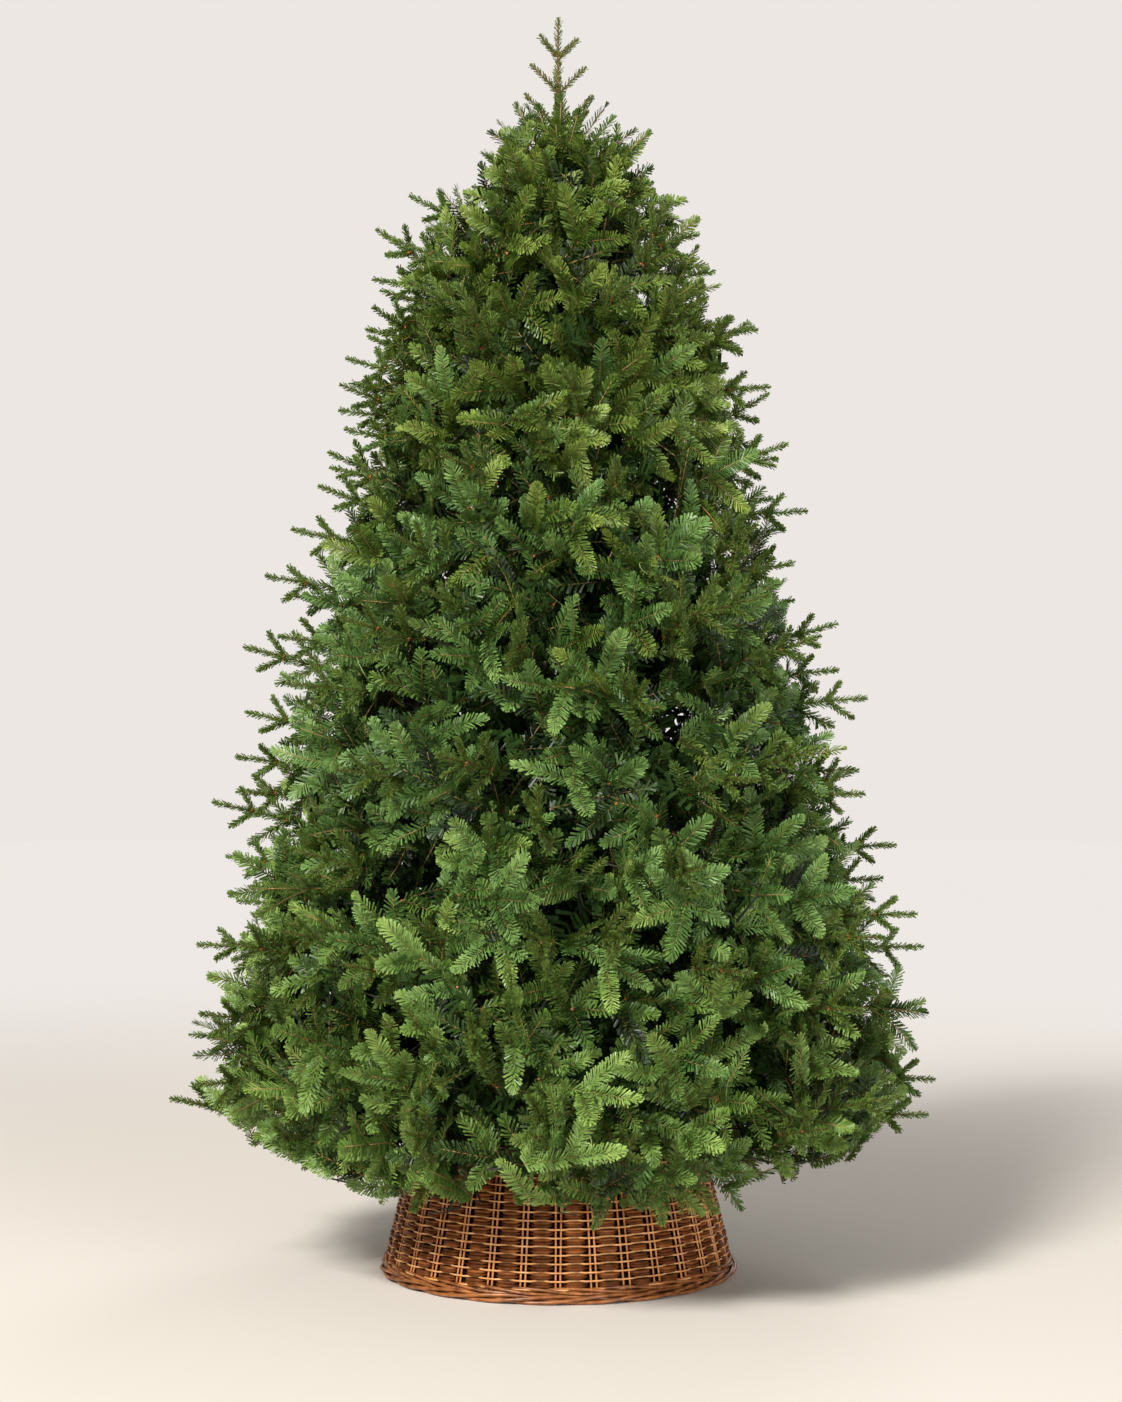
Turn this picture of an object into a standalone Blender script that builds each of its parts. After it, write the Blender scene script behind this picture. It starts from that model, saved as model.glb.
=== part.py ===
# A christmas tree with a full, bullet-shaped crown, standing in a woven collar.
# A pole runs up through the crown, tiers of boughs leave it, and each bough carries
# one mass of needle sprays. A steel stand inside the collar holds the foot of the pole.
# Metres, +Z up, the origin on the floor under the pole.

import math
import random

import bmesh
import bpy
from mathutils import Matrix, Vector

# Overall sizes
TREE_HEIGHT = 2.25
CROWN_FOOT_Z = 0.165
CROWN_TOP_Z = 2.08
CROWN_TOP_RADIUS = 0.13
SHOULDER_Z = 1.93
SHOULDER_RADIUS = 0.26
WIDEST_Z = 0.33
WIDEST_RADIUS = 0.70
UNDERSIDE_SLOPE = 1.2
CLEARANCE = 0.0003

# Tiers of foliage, from the foot of the crown to its top
MASSES_IN_TIER = (6, 6, 5, 5, 4, 4, 3)
SPRAYS_IN_MASS = (13, 12, 12, 11, 11, 10, 9)
TIERS_ON_BOUGHS = 3
FOOT_SLOPE = -0.25
TOP_SLOPE = 0.85
SPACE_MARGIN = 0.005
FIRST_AZIMUTH = math.radians(-74)
GOLDEN_ANGLE = math.pi * (3 - math.sqrt(5))

# Pole, in three sections that plug into each other
POLE_FOOT_Z = 0.012
POLE_TOP_Z = 1.995
POLE_SECTIONS = ((0.0, 0.019), (0.86, 0.016), (1.48, 0.012))
POLE_TIP_RADIUS = 0.007
SLEEVE_LENGTH = 0.07
SLEEVE_WALL = 0.003
STEM_ROOM = 0.010
POLE_STEPS = 16

# Boughs
BOUGH_END_RADIUS = 0.22
BOUGH_ROOT_THICKNESS = 0.008
BOUGH_TIP_THICKNESS = 0.005
BOUGH_LEVEL_RUN = 0.05
BOUGH_TO_CORE = 0.03

# Masses: the core of each, and the sprays that stand out of it
CORE_INNER_RADIUS = 0.055
CORE_RINGS = ((0.10, 0.45), (0.60, 1.00), (0.93, 0.93))
CORE_SIDES = 8
CORE_SQUARENESS = 0.48
CORE_DEPTH = 0.11
CORE_FILL = 0.99
LEAST_CORE_LENGTH = 0.03
STEM_SUNK = 0.04
STEM_THICKNESS = 0.005
STEM_SIDES = 3
SPRAY_LENGTH = 0.165
SPRAY_WIDTH = 0.085
SPRAY_THICKNESS = 0.012
SPRAY_DEPTH = 0.016
SPRAY_DEPTH_SPREAD = 0.014
SPRAY_SIDE_ROOM = 0.045
SPRAY_HEIGHT_ROOM = 0.92
DEEPEST_ROOT_SHARE = 0.50
SPRAY_ROOT_SHARE = 0.86
SPRAY_ROOT_FILL = 0.80
SHORTEST_SPRAY = 0.07
SPRAY_CUT = 0.005
SPRAY_TRIES = 12
SPRAY_SIDE_TURN = math.radians(42)
SPRAY_LIFT_FOOT = math.radians(-2)
SPRAY_LIFT_TOP = math.radians(56)
SPRAY_LIFT_SPREAD = math.radians(34)
SPRAY_WANDER = math.radians(12)
PLASTIC_NUMBER = 1.32471795724
SHOOT_WIDTH = 0.105
SHOOT_THICKNESS = 0.009
SHOOT_ROOT_SHARE = 0.80

# Leader, the upright shoot on top, with whorls of short side shoots
LEADER_THICKNESS = 0.0055
LEADER_TIP_THICKNESS = 0.002
WHORL_HEIGHTS = (2.053, 2.119, 2.183)
WHORL_TURNS = ((6, 174, 268), (-8, 190, 95), (7, 180))    # degrees round the stem from +X
WHORL_SHOOT_LENGTHS = (0.082, 0.062, 0.044)
WHORL_SHOOT_ANGLE = math.radians(44)
WHORL_STAGGER = 0.004
NEEDLE_LENGTH = 0.016
NEEDLE_WIDTH = 0.0032
NEEDLE_PITCH = 0.030
NEEDLE_LEAN = 0.75
WHORL_SHOOT_THICKNESS = 0.0028
WHORL_SHOOT_TIP_THICKNESS = 0.0014
BARE_SHARE_OF_SHOOT = 0.25

# Woven collar: a hollow cone that narrows upwards, with a braid at its foot and its rim
COLLAR_FOOT_RADIUS = 0.318
COLLAR_HEIGHT = 0.262
COLLAR_NARROWING = 0.237
COLLAR_WALL = 0.010
FOOT_BRAID_HEIGHT = 0.026
RIM_BRAID_HEIGHT = 0.020
BRAID_PROUD = 0.004
COLLAR_STEPS = 36

# Hem of the crown, which clears the collar's rim and then hangs down in front of it
HEM_CLEAR_Z = COLLAR_HEIGHT + 0.02
HEM_CLEAR_RADIUS = 0.27
HEM_FALL = 1.15
HEM_LOW_Z = 0.125

# Stand: a socket on a foot plate, and four fins that reach out to the collar
SOCKET_RADIUS = 0.0235
SOCKET_HEIGHT = 0.20
FOOT_PLATE_RADIUS = 0.06
FOOT_PLATE_THICKNESS = 0.008
FIN_THICKNESS = 0.006
FIN_HEIGHT = 0.13
FIN_TOP_LENGTH = 0.04
FIN_TOE_HEIGHT = 0.022
STAND_STEPS = 16
FIN_COUNT = 4


# Materials, and a scene to start from

def material(name, colour, roughness, metallic=0.0):
    made = bpy.data.materials.new(name)
    made.use_nodes = True
    shader = made.node_tree.nodes["Principled BSDF"]
    shader.inputs["Base Color"].default_value = (*colour, 1.0)
    shader.inputs["Roughness"].default_value = roughness
    shader.inputs["Metallic"].default_value = metallic
    return made


def clear_scene():
    for old in list(bpy.data.objects):
        bpy.data.objects.remove(old, do_unlink=True)


def collection(name):
    made = bpy.data.collections.new(name)
    bpy.context.scene.collection.children.link(made)
    return made


# Mesh helpers

def add_mesh_object(name, shape, group, finish):
    bmesh.ops.recalc_face_normals(shape, faces=shape.faces)
    mesh = bpy.data.meshes.new(name)
    shape.to_mesh(mesh)
    shape.free()
    made = bpy.data.objects.new(name, mesh)
    made.data.materials.append(finish)
    group.objects.link(made)
    return made


def turned(name, profile, steps, group, finish):
    """A profile of (radius, height) points, from the top down its outer side, turned round Z."""
    shape = bmesh.new()
    points = [shape.verts.new((radius, 0, height)) for radius, height in profile]
    for first, second in zip(points, points[1:]):
        shape.edges.new((first, second))
    mesh = bpy.data.meshes.new(name)
    shape.to_mesh(mesh)
    shape.free()
    made = bpy.data.objects.new(name, mesh)
    made.data.materials.append(finish)
    group.objects.link(made)
    screw = made.modifiers.new("turn", "SCREW")
    screw.steps = steps
    screw.render_steps = steps
    screw.use_merge_vertices = True
    screw.merge_threshold = 0.00005
    return made


def cone_between(shape, start, end, start_radius, end_radius, sides):
    """A tapered limb with flat ends, from one point to another."""
    run = end - start
    turn = run.to_track_quat("Z", "Y").to_matrix().to_4x4()
    bmesh.ops.create_cone(
        shape,
        cap_ends=True,
        cap_tris=False,
        segments=sides,
        radius1=start_radius,
        radius2=end_radius,
        depth=run.length,
        matrix=Matrix.Translation((start + end) / 2) @ turn,
    )


def keep_main_shell(mesh):
    """Drops loose scraps and fills sealed hollows: only the shell with the most faces stays."""
    shape = bmesh.new()
    shape.from_mesh(mesh)
    left = set(shape.faces)
    shells = []
    while left:
        shell = set()
        edge_of_shell = [left.pop()]
        while edge_of_shell:
            face = edge_of_shell.pop()
            shell.add(face)
            near = {other for edge in face.edges for other in edge.link_faces} & left
            left -= near
            edge_of_shell += near
        shells.append(shell)
    main = max(shells, key=len)
    bmesh.ops.delete(shape, geom=[face for face in shape.faces if face not in main], context="FACES")
    shape.to_mesh(mesh)
    shape.free()


def fuse(name, pieces, group, finish):
    """Joins closed pieces into one solid with a Boolean union, and removes them."""
    body, *others = pieces
    joined = bpy.data.collections.new(name + "_pieces")
    bpy.context.scene.collection.children.link(joined)
    for piece in others:
        joined.objects.link(piece)
        group.objects.unlink(piece)
    union = body.modifiers.new("join", "BOOLEAN")
    union.operation = "UNION"
    union.operand_type = "COLLECTION"
    union.collection = joined
    union.solver = "MANIFOLD"
    bpy.context.view_layer.update()
    graph = bpy.context.evaluated_depsgraph_get()
    mesh = bpy.data.meshes.new_from_object(body.evaluated_get(graph))
    for piece in pieces:
        bpy.data.objects.remove(piece, do_unlink=True)
    bpy.data.collections.remove(joined)
    keep_main_shell(mesh)
    mesh.name = name
    mesh.materials.clear()
    mesh.materials.append(finish)
    made = bpy.data.objects.new(name, mesh)
    group.objects.link(made)
    return made


# The crown's outline and the space that each mass keeps to

def reach(height):
    """How far the furthest tips stand from the pole at a height."""
    flank = SHOULDER_RADIUS + (WIDEST_RADIUS - SHOULDER_RADIUS) * (
        (SHOULDER_Z - height) / (SHOULDER_Z - WIDEST_Z)
    )
    cap = CROWN_TOP_RADIUS + (SHOULDER_RADIUS - CROWN_TOP_RADIUS) * (
        (CROWN_TOP_Z - height) / (CROWN_TOP_Z - SHOULDER_Z)
    )
    underside = WIDEST_RADIUS - UNDERSIDE_SLOPE * (WIDEST_Z - height)
    return min(flank, cap, underside, WIDEST_RADIUS)


def tier_share(tier):
    return tier / len(MASSES_IN_TIER)


def boundary(tier, radius):
    """Height of the cone between two tiers: it rises outwards at the top, and droops at the foot."""
    rim = CROWN_FOOT_Z + (CROWN_TOP_Z - CROWN_FOOT_Z) * tier_share(tier)
    slope = FOOT_SLOPE + (TOP_SLOPE - FOOT_SLOPE) * tier_share(tier)
    return rim - slope * (reach(rim) - radius)


def collar_radius(height):
    return COLLAR_FOOT_RADIUS - COLLAR_NARROWING * height


def hem(radius):
    """The lowest that foliage hangs: over the collar's rim, then down in front of it."""
    return max(HEM_LOW_Z, HEM_CLEAR_Z - HEM_FALL * max(0, radius - HEM_CLEAR_RADIUS))


class Space:
    """The wedge of the crown, between two tier cones, that one mass keeps to."""

    def __init__(self, tier, place, inner):
        count = MASSES_IN_TIER[tier]
        self.tier = tier
        self.inner = inner
        self.azimuth = FIRST_AZIMUTH + GOLDEN_ANGLE * tier + 2 * math.pi * place / count
        self.half_angle = math.pi / count

    def floor(self, radius):
        low = hem(radius) if self.tier == 0 else boundary(self.tier, radius)
        return low + SPACE_MARGIN

    def ceiling(self, radius):
        return boundary(self.tier + 1, radius) - SPACE_MARGIN

    def middle(self, radius):
        """Height of the bough's own line."""
        return (boundary(self.tier, radius) + boundary(self.tier + 1, radius)) / 2

    def half_height(self, radius):
        return (boundary(self.tier + 1, radius) - boundary(self.tier, radius)) / 2

    def outer(self):
        """Radius where the bough's line meets the crown's outline."""
        radius = reach(self.middle(0.3))
        for _ in range(8):
            radius = reach(self.middle(radius))
        return radius

    def point(self, radius, side, height):
        """A point at a share of the wedge's half angle and half height."""
        turn = self.azimuth + side * self.half_angle
        rise = self.middle(radius) + height * self.half_height(radius)
        return Vector((radius * math.cos(turn), radius * math.sin(turn), rise))

    def under_outline(self, depth, side, height):
        """A point at a depth under the crown's outline."""
        radius = self.outer()
        for _ in range(12):
            wanted = reach(self.point(radius, side, height).z) - depth
            radius = (radius + max(self.inner, wanted)) / 2
        return self.point(radius, side, height)

    def core_point(self, share, side, height):
        """A point at a share of the way from the core's inner end to its outer one."""
        end = self.under_outline(CORE_DEPTH, side, height)
        length = max(LEAST_CORE_LENGTH, math.hypot(end.x, end.y) - self.inner)
        return self.point(self.inner + share * length, side, height)

    def holds(self, point):
        radius = math.hypot(point.x, point.y)
        turn = math.atan2(point.y, point.x) - self.azimuth
        turn = (turn + math.pi) % (2 * math.pi) - math.pi
        return (
            abs(turn) * radius < self.half_angle * radius - SPACE_MARGIN
            and self.floor(radius) < point.z < self.ceiling(radius)
            and radius < reach(point.z)
        )


# A spray: a toothed blade, thickest in its middle, that stands for a flat twig of needles

SPRAY_SIDE = ((0.0, 0.0), (0.60, 1.0), (0.70, 0.52), (1.0, 0.0))
SHOOT_SIDE = ((0.0, 0.0), (0.42, 0.16), (0.77, 1.0), (0.64, 0.22), (1.0, 0.0))
RIDGE = 0.56


def spray_points(half_outline, root, along, across, length, width, thickness):
    """The blade's two sides and its two high points."""
    face = along.cross(across).normalized()

    def place(share, aside, above):
        return root + along * (share * length) + across * aside + face * above

    sides = [
        [place(share, hand * part * width / 2, 0) for share, part in half_outline]
        for hand in (1, -1)
    ]
    ridges = [place(RIDGE, 0, up * thickness / 2) for up in (1, -1)]
    return sides, ridges


def add_spray(shape, sides, ridges):
    root = shape.verts.new(sides[0][0])
    apex = shape.verts.new(sides[0][-1])
    ridge_verts = [shape.verts.new(point) for point in ridges]
    for side in sides:
        edge = [root, *(shape.verts.new(point) for point in side[1:-1]), apex]
        for near, far in zip(edge, edge[1:]):
            for ridge in ridge_verts:
                shape.faces.new((near, far, ridge))


def spray_object(name, sides, ridges, group, finish):
    shape = bmesh.new()
    add_spray(shape, sides, ridges)
    return add_mesh_object(name, shape, group, finish)


# A mass of foliage

def bulged(part):
    """Pushes a point of a circle out towards the square around it."""
    return math.copysign(abs(part) ** CORE_SQUARENESS, part)


def core_object(space, group, finish):
    """The dense middle of a mass: rings that fill the wedge, closed by a point at each end."""
    shape = bmesh.new()
    rings = []
    for share, swell in CORE_RINGS:
        ring = []
        for i in range(CORE_SIDES):
            turn = 2 * math.pi * (i + 0.5) / CORE_SIDES
            side = swell * CORE_FILL * bulged(math.cos(turn))
            height = swell * CORE_FILL * bulged(math.sin(turn))
            ring.append(shape.verts.new(space.core_point(share, side, height)))
        rings.append(ring)
    first = shape.verts.new(space.core_point(0, 0, 0))
    last = shape.verts.new(space.core_point(1, 0, 0))
    for i in range(CORE_SIDES):
        j = (i + 1) % CORE_SIDES
        shape.faces.new((first, rings[0][i], rings[0][j]))
        shape.faces.new((last, rings[-1][j], rings[-1][i]))
        for near, far in zip(rings, rings[1:]):
            shape.faces.new((near[i], far[i], far[j], near[j]))
    return add_mesh_object("core", shape, group, finish)


def axes_at(point):
    outward = Vector((point.x, point.y, 0)).normalized()
    return outward, Vector((-outward.y, outward.x, 0))


def spray_direction(space, tip, side, height, dice):
    """Sprays lift more towards the top of the crown, and lean away from their mass's middle."""
    outward, aside = axes_at(tip)
    lift = SPRAY_LIFT_FOOT + (SPRAY_LIFT_TOP - SPRAY_LIFT_FOOT) * tier_share(space.tier)
    lift += SPRAY_LIFT_SPREAD * height + SPRAY_WANDER * dice.uniform(-1, 1)
    turn = SPRAY_SIDE_TURN * side + SPRAY_WANDER * dice.uniform(-1, 1)
    flat = outward * math.cos(turn) + aside * math.sin(turn)
    return (flat * math.cos(lift) + Vector((0, 0, math.sin(lift)))).normalized()


def sunk_root(space, point):
    """The place in the core that is nearest to a point, by its shares of the wedge."""
    radius = math.hypot(point.x, point.y)
    turn = math.atan2(point.y, point.x) - space.azimuth
    turn = (turn + math.pi) % (2 * math.pi) - math.pi
    rise = (point.z - space.middle(radius)) / space.half_height(radius)
    side = max(-1, min(1, turn / space.half_angle / SPRAY_ROOT_FILL)) * SPRAY_ROOT_FILL
    height = max(-1, min(1, rise / SPRAY_ROOT_FILL)) * SPRAY_ROOT_FILL
    end = space.core_point(1, side, height)
    length = math.hypot(end.x, end.y) - space.inner
    share = max(DEEPEST_ROOT_SHARE, min(SPRAY_ROOT_SHARE, (radius - space.inner) / length))
    return space.core_point(share, side, height)


def blade_side(tip, along):
    """A blade lies level, or faces outwards where it points up."""
    outward, _ = axes_at(tip)
    return along.cross((outward * 0.6 + Vector((0, 0, 1))).normalized()).normalized()


def fitting_spray(space, half_outline, root, tip, width, thickness):
    """The longest blade from the root towards the tip that stays in the space, or None."""
    along = (tip - root).normalized()
    across = blade_side(tip, along)
    length = (tip - root).length - CLEARANCE
    while length >= SHORTEST_SPRAY:
        points = spray_points(half_outline, root, along, across, length, width, thickness)
        if all(space.holds(point) for side in points[0] for point in side[1:]):
            return points
        length -= SPRAY_CUT
    return None


def sprays_of_mass(space, dice, group, finish):
    """Sprays whose tips are spread evenly just under the crown's outline."""
    made = []
    for i in range(SPRAYS_IN_MASS[space.tier]):
        side = 2 * ((i + 0.5) / PLASTIC_NUMBER % 1) - 1
        height = 2 * ((i + 0.5) / PLASTIC_NUMBER**2 % 1) - 1
        for _ in range(SPRAY_TRIES):
            depth = SPRAY_DEPTH + SPRAY_DEPTH_SPREAD * dice.uniform(-1, 1)
            room = 1 - SPRAY_SIDE_ROOM / (space.half_angle * space.outer())
            tip = space.under_outline(depth, side * room, height * SPRAY_HEIGHT_ROOM)
            length = SPRAY_LENGTH * dice.uniform(0.9, 1.1)
            along = spray_direction(space, tip, side, height, dice)
            root = sunk_root(space, tip - along * length)
            blade = fitting_spray(space, SPRAY_SIDE, root, tip, SPRAY_WIDTH, SPRAY_THICKNESS)
            if blade:
                made.append(spray_object("spray", *blade, group, finish))
                break
    return made


def leading_shoot(space, group, finish):
    """The three-tipped end of the bough, which reaches the crown's outline."""
    tip = space.under_outline(0, 0, 0)
    root = space.core_point(SHOOT_ROOT_SHARE, 0, 0)
    blade = fitting_spray(space, SHOOT_SIDE, root, tip, SHOOT_WIDTH, SHOOT_THICKNESS)
    return spray_object("shoot", *blade, group, finish)


def foliage_mass(name, space, stem_start, stem_along, dice, group, finish):
    pieces = [core_object(space, group, finish)]
    stem = bmesh.new()
    reach_in = space.inner + STEM_SUNK - math.hypot(stem_start.x, stem_start.y)
    stem_end = stem_start + stem_along * reach_in
    cone_between(stem, stem_start, stem_end, STEM_THICKNESS, STEM_THICKNESS, STEM_SIDES)
    pieces.append(add_mesh_object("stem", stem, group, finish))
    pieces += sprays_of_mass(space, dice, group, finish)
    pieces.append(leading_shoot(space, group, finish))
    return fuse(name, pieces, group, finish)


# Pole, boughs and leader

def pole_radius(height):
    """The pole's radius next to a stem, with the sleeves where its sections plug together."""
    radius = POLE_SECTIONS[0][1]
    for (_, below), (start, above) in zip(POLE_SECTIONS, POLE_SECTIONS[1:]):
        if height > start - STEM_ROOM:
            radius = below + SLEEVE_WALL
        if height > start + SLEEVE_LENGTH + STEM_ROOM:
            radius = above
    taper_start, widest = POLE_SECTIONS[-1][0] + SLEEVE_LENGTH, POLE_SECTIONS[-1][1]
    taper = (height - STEM_ROOM - taper_start) / (POLE_TOP_Z - taper_start)
    return radius - (widest - POLE_TIP_RADIUS) * max(0, taper)


def pole(group, finish):
    profile = [(0, POLE_TOP_Z), (POLE_TIP_RADIUS, POLE_TOP_Z)]
    for (start, radius), (_, below) in zip(POLE_SECTIONS[:0:-1], POLE_SECTIONS[-2::-1]):
        profile.append((radius, start + SLEEVE_LENGTH))
        profile.append((below + SLEEVE_WALL, start + SLEEVE_LENGTH))
        profile.append((below + SLEEVE_WALL, start))
        profile.append((below, start))
    foot_radius = POLE_SECTIONS[0][1]
    profile += [(foot_radius, POLE_FOOT_Z), (0, POLE_FOOT_Z)]
    return turned("trunk_pole", profile, POLE_STEPS, group, finish)


def bough(name, space, group, finish):
    """A tapering limb: level where it leaves the pole, then along the middle of its tier."""
    end = space.point(BOUGH_END_RADIUS, 0, 0)
    beyond = space.point(BOUGH_END_RADIUS + BOUGH_TO_CORE, 0, 0)
    along = (beyond - end).normalized()
    level = space.point(BOUGH_LEVEL_RUN, 0, 0)
    root_radius = pole_radius(level.z) + CLEARANCE
    root = Vector((level.x, level.y, 0)).normalized() * root_radius
    root.z = level.z
    shape = bpy.data.curves.new(name, "CURVE")
    shape.dimensions = "3D"
    shape.bevel_depth = 1.0
    shape.bevel_resolution = 1
    shape.use_fill_caps = True
    line = shape.splines.new("POLY")
    stops = (root, level, end)
    line.points.add(len(stops) - 1)
    for point, place, share in zip(line.points, stops, (0.0, 0.2, 1.0)):
        point.co = (*place, 1.0)
        point.radius = BOUGH_ROOT_THICKNESS + (
            BOUGH_TIP_THICKNESS - BOUGH_ROOT_THICKNESS
        ) * share
    made = bpy.data.objects.new(name, shape)
    shape.materials.append(finish)
    group.objects.link(made)
    return end, along


def stem_on_pole(space):
    """Where a mass without a bough starts, just clear of the pole, and which way it runs."""
    middle = space.point(space.inner, 0, 0)
    along, _ = axes_at(middle)
    start = along * (pole_radius(middle.z) + CLEARANCE)
    start.z = middle.z
    return start, along


def leader_needles(shape, start, end, dice):
    """Needles that stand out all round a shoot, each a slim three-sided point."""
    run = end - start
    along = run.normalized()
    side = along.orthogonal().normalized()
    count = int(run.length / NEEDLE_PITCH)
    needles = []
    for i in range(1, count + 1):
        place = start + run * (i / (count + 0.5))
        out = Matrix.Rotation(GOLDEN_ANGLE * i + dice.uniform(0, 1), 4, along) @ side
        needles.append((place, (along * NEEDLE_LEAN + out).normalized()))
    for place, direction in needles:
        shape.append((place + direction * CLEARANCE, place + direction * NEEDLE_LENGTH))


def leader(group, finish, dice):
    foot = Vector((0, 0, POLE_TOP_Z + CLEARANCE))
    top = Vector((0, 0, TREE_HEIGHT))
    stem = bmesh.new()
    cone_between(stem, foot, top, LEADER_THICKNESS, LEADER_TIP_THICKNESS, 5)
    pieces = [add_mesh_object("leader_stem", stem, group, finish)]
    shoots = []
    for whorl, height in enumerate(WHORL_HEIGHTS):
        for i, degrees in enumerate(WHORL_TURNS[whorl]):
            turn = math.radians(degrees + dice.uniform(-4, 4))
            out = Vector((math.cos(turn), math.sin(turn), 0))
            start = Vector((0, 0, height + WHORL_STAGGER * i))
            run = out * math.sin(WHORL_SHOOT_ANGLE) + Vector((0, 0, math.cos(WHORL_SHOOT_ANGLE)))
            shoots.append((start, start + run * WHORL_SHOOT_LENGTHS[whorl]))
    for start, end in shoots:
        twig = bmesh.new()
        cone_between(twig, start, end, WHORL_SHOOT_THICKNESS, WHORL_SHOOT_TIP_THICKNESS, 4)
        pieces.append(add_mesh_object("leader_shoot", twig, group, finish))
    needles = []
    leader_needles(needles, Vector((0, 0, WHORL_HEIGHTS[0])), top, dice)
    for start, end in shoots:
        leader_needles(needles, start.lerp(end, BARE_SHARE_OF_SHOOT), end, dice)
    for start, end in needles:
        needle = bmesh.new()
        cone_between(needle, start, end, NEEDLE_WIDTH / 2, 0.0, 3)
        pieces.append(add_mesh_object("needle", needle, group, finish))
    return fuse("leader", pieces, group, finish)


# Woven collar

def ring_profile(low, high, inner_low, inner_high, outer_low, outer_high):
    """A closed four-sided profile of a ring, outer side first, from the top down."""
    return [
        (inner_high, high),
        (outer_high, high),
        (outer_low, low),
        (inner_low, low),
        (inner_high, high),
    ]


def collar_ring(name, low, high, wall, proud, group, finish):
    profile = ring_profile(
        low,
        high,
        collar_radius(low) - wall - proud,
        collar_radius(high) - wall - proud,
        collar_radius(low) + proud,
        collar_radius(high) + proud,
    )
    return turned(name, profile, COLLAR_STEPS, group, finish)


def collar(group, finish):
    rim_z = COLLAR_HEIGHT - RIM_BRAID_HEIGHT
    collar_ring("collar_foot_braid", 0, FOOT_BRAID_HEIGHT, COLLAR_WALL, BRAID_PROUD, group, finish)
    collar_ring(
        "collar_weave",
        FOOT_BRAID_HEIGHT + CLEARANCE,
        rim_z - CLEARANCE,
        COLLAR_WALL,
        0.0,
        group,
        finish,
    )
    collar_ring("collar_rim_braid", rim_z, COLLAR_HEIGHT, COLLAR_WALL, BRAID_PROUD, group, finish)


# Stand

def stand_socket(group, finish):
    bore = POLE_SECTIONS[0][1] + CLEARANCE
    bore_floor = POLE_FOOT_Z - CLEARANCE
    profile = [
        (0, bore_floor),
        (bore, bore_floor),
        (bore, SOCKET_HEIGHT),
        (SOCKET_RADIUS, SOCKET_HEIGHT),
        (SOCKET_RADIUS, FOOT_PLATE_THICKNESS),
        (FOOT_PLATE_RADIUS, FOOT_PLATE_THICKNESS),
        (FOOT_PLATE_RADIUS, 0),
        (0, 0),
    ]
    return turned("stand_socket", profile, STAND_STEPS, group, finish)


def fin_toe(height):
    """Radius of the fin's end, against the middle of a flat side of the collar's foot."""
    inner_wall = collar_radius(height) - COLLAR_WALL - BRAID_PROUD
    return inner_wall * math.cos(math.pi / COLLAR_STEPS) - CLEARANCE


def stand_fin(number, group, finish):
    """A flat steel fin on edge, from the socket down to the collar's foot."""
    inner = SOCKET_RADIUS + CLEARANCE
    lift = FOOT_PLATE_THICKNESS + CLEARANCE
    outline = (
        (inner, FIN_HEIGHT),
        (inner, lift),
        (FOOT_PLATE_RADIUS + CLEARANCE, lift),
        (FOOT_PLATE_RADIUS + CLEARANCE, 0),
        (fin_toe(0), 0),
        (fin_toe(FIN_TOE_HEIGHT), FIN_TOE_HEIGHT),
        (inner + FIN_TOP_LENGTH, FIN_HEIGHT),
    )
    shape = bpy.data.curves.new("stand_fin", "CURVE")
    shape.dimensions = "2D"
    shape.fill_mode = "BOTH"
    shape.extrude = FIN_THICKNESS / 2
    line = shape.splines.new("POLY")
    line.points.add(len(outline) - 1)
    for point, (out, up) in zip(line.points, outline):
        point.co = (out, up, 0, 1)
    line.use_cyclic_u = True
    shape.materials.append(finish)
    made = bpy.data.objects.new(f"stand_fin_{number}", shape)
    turn = math.pi / FIN_COUNT + 2 * math.pi * number / FIN_COUNT
    made.rotation_euler = (math.pi / 2, 0, turn)
    group.objects.link(made)


# The whole tree

def build():
    clear_scene()
    tree = collection("christmas_tree")
    bark = material("dark_bough", (0.045, 0.06, 0.03), 0.7)
    needles = material("fir_needles", (0.075, 0.14, 0.035), 0.5)
    wicker = material("brown_wicker", (0.24, 0.10, 0.04), 0.45)
    steel = material("green_steel", (0.03, 0.05, 0.03), 0.4, 0.6)

    pole(tree, bark)
    dice = random.Random(7)
    leader(tree, needles, dice)
    for tier, count in enumerate(MASSES_IN_TIER):
        for place in range(count):
            label = f"tier_{tier + 1}_{place + 1}"
            if tier < TIERS_ON_BOUGHS:
                space = Space(tier, place, BOUGH_END_RADIUS + BOUGH_TO_CORE)
                end, along = bough("bough_" + label, space, tree, bark)
                stem_start = end + along * CLEARANCE
            else:
                space = Space(tier, place, CORE_INNER_RADIUS)
                stem_start, along = stem_on_pole(space)
            foliage_mass("foliage_" + label, space, stem_start, along, dice, tree, needles)
    collar(tree, wicker)
    stand_socket(tree, steel)
    for number in range(FIN_COUNT):
        stand_fin(number, tree, steel)


build()
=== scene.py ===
import math
import random

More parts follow.
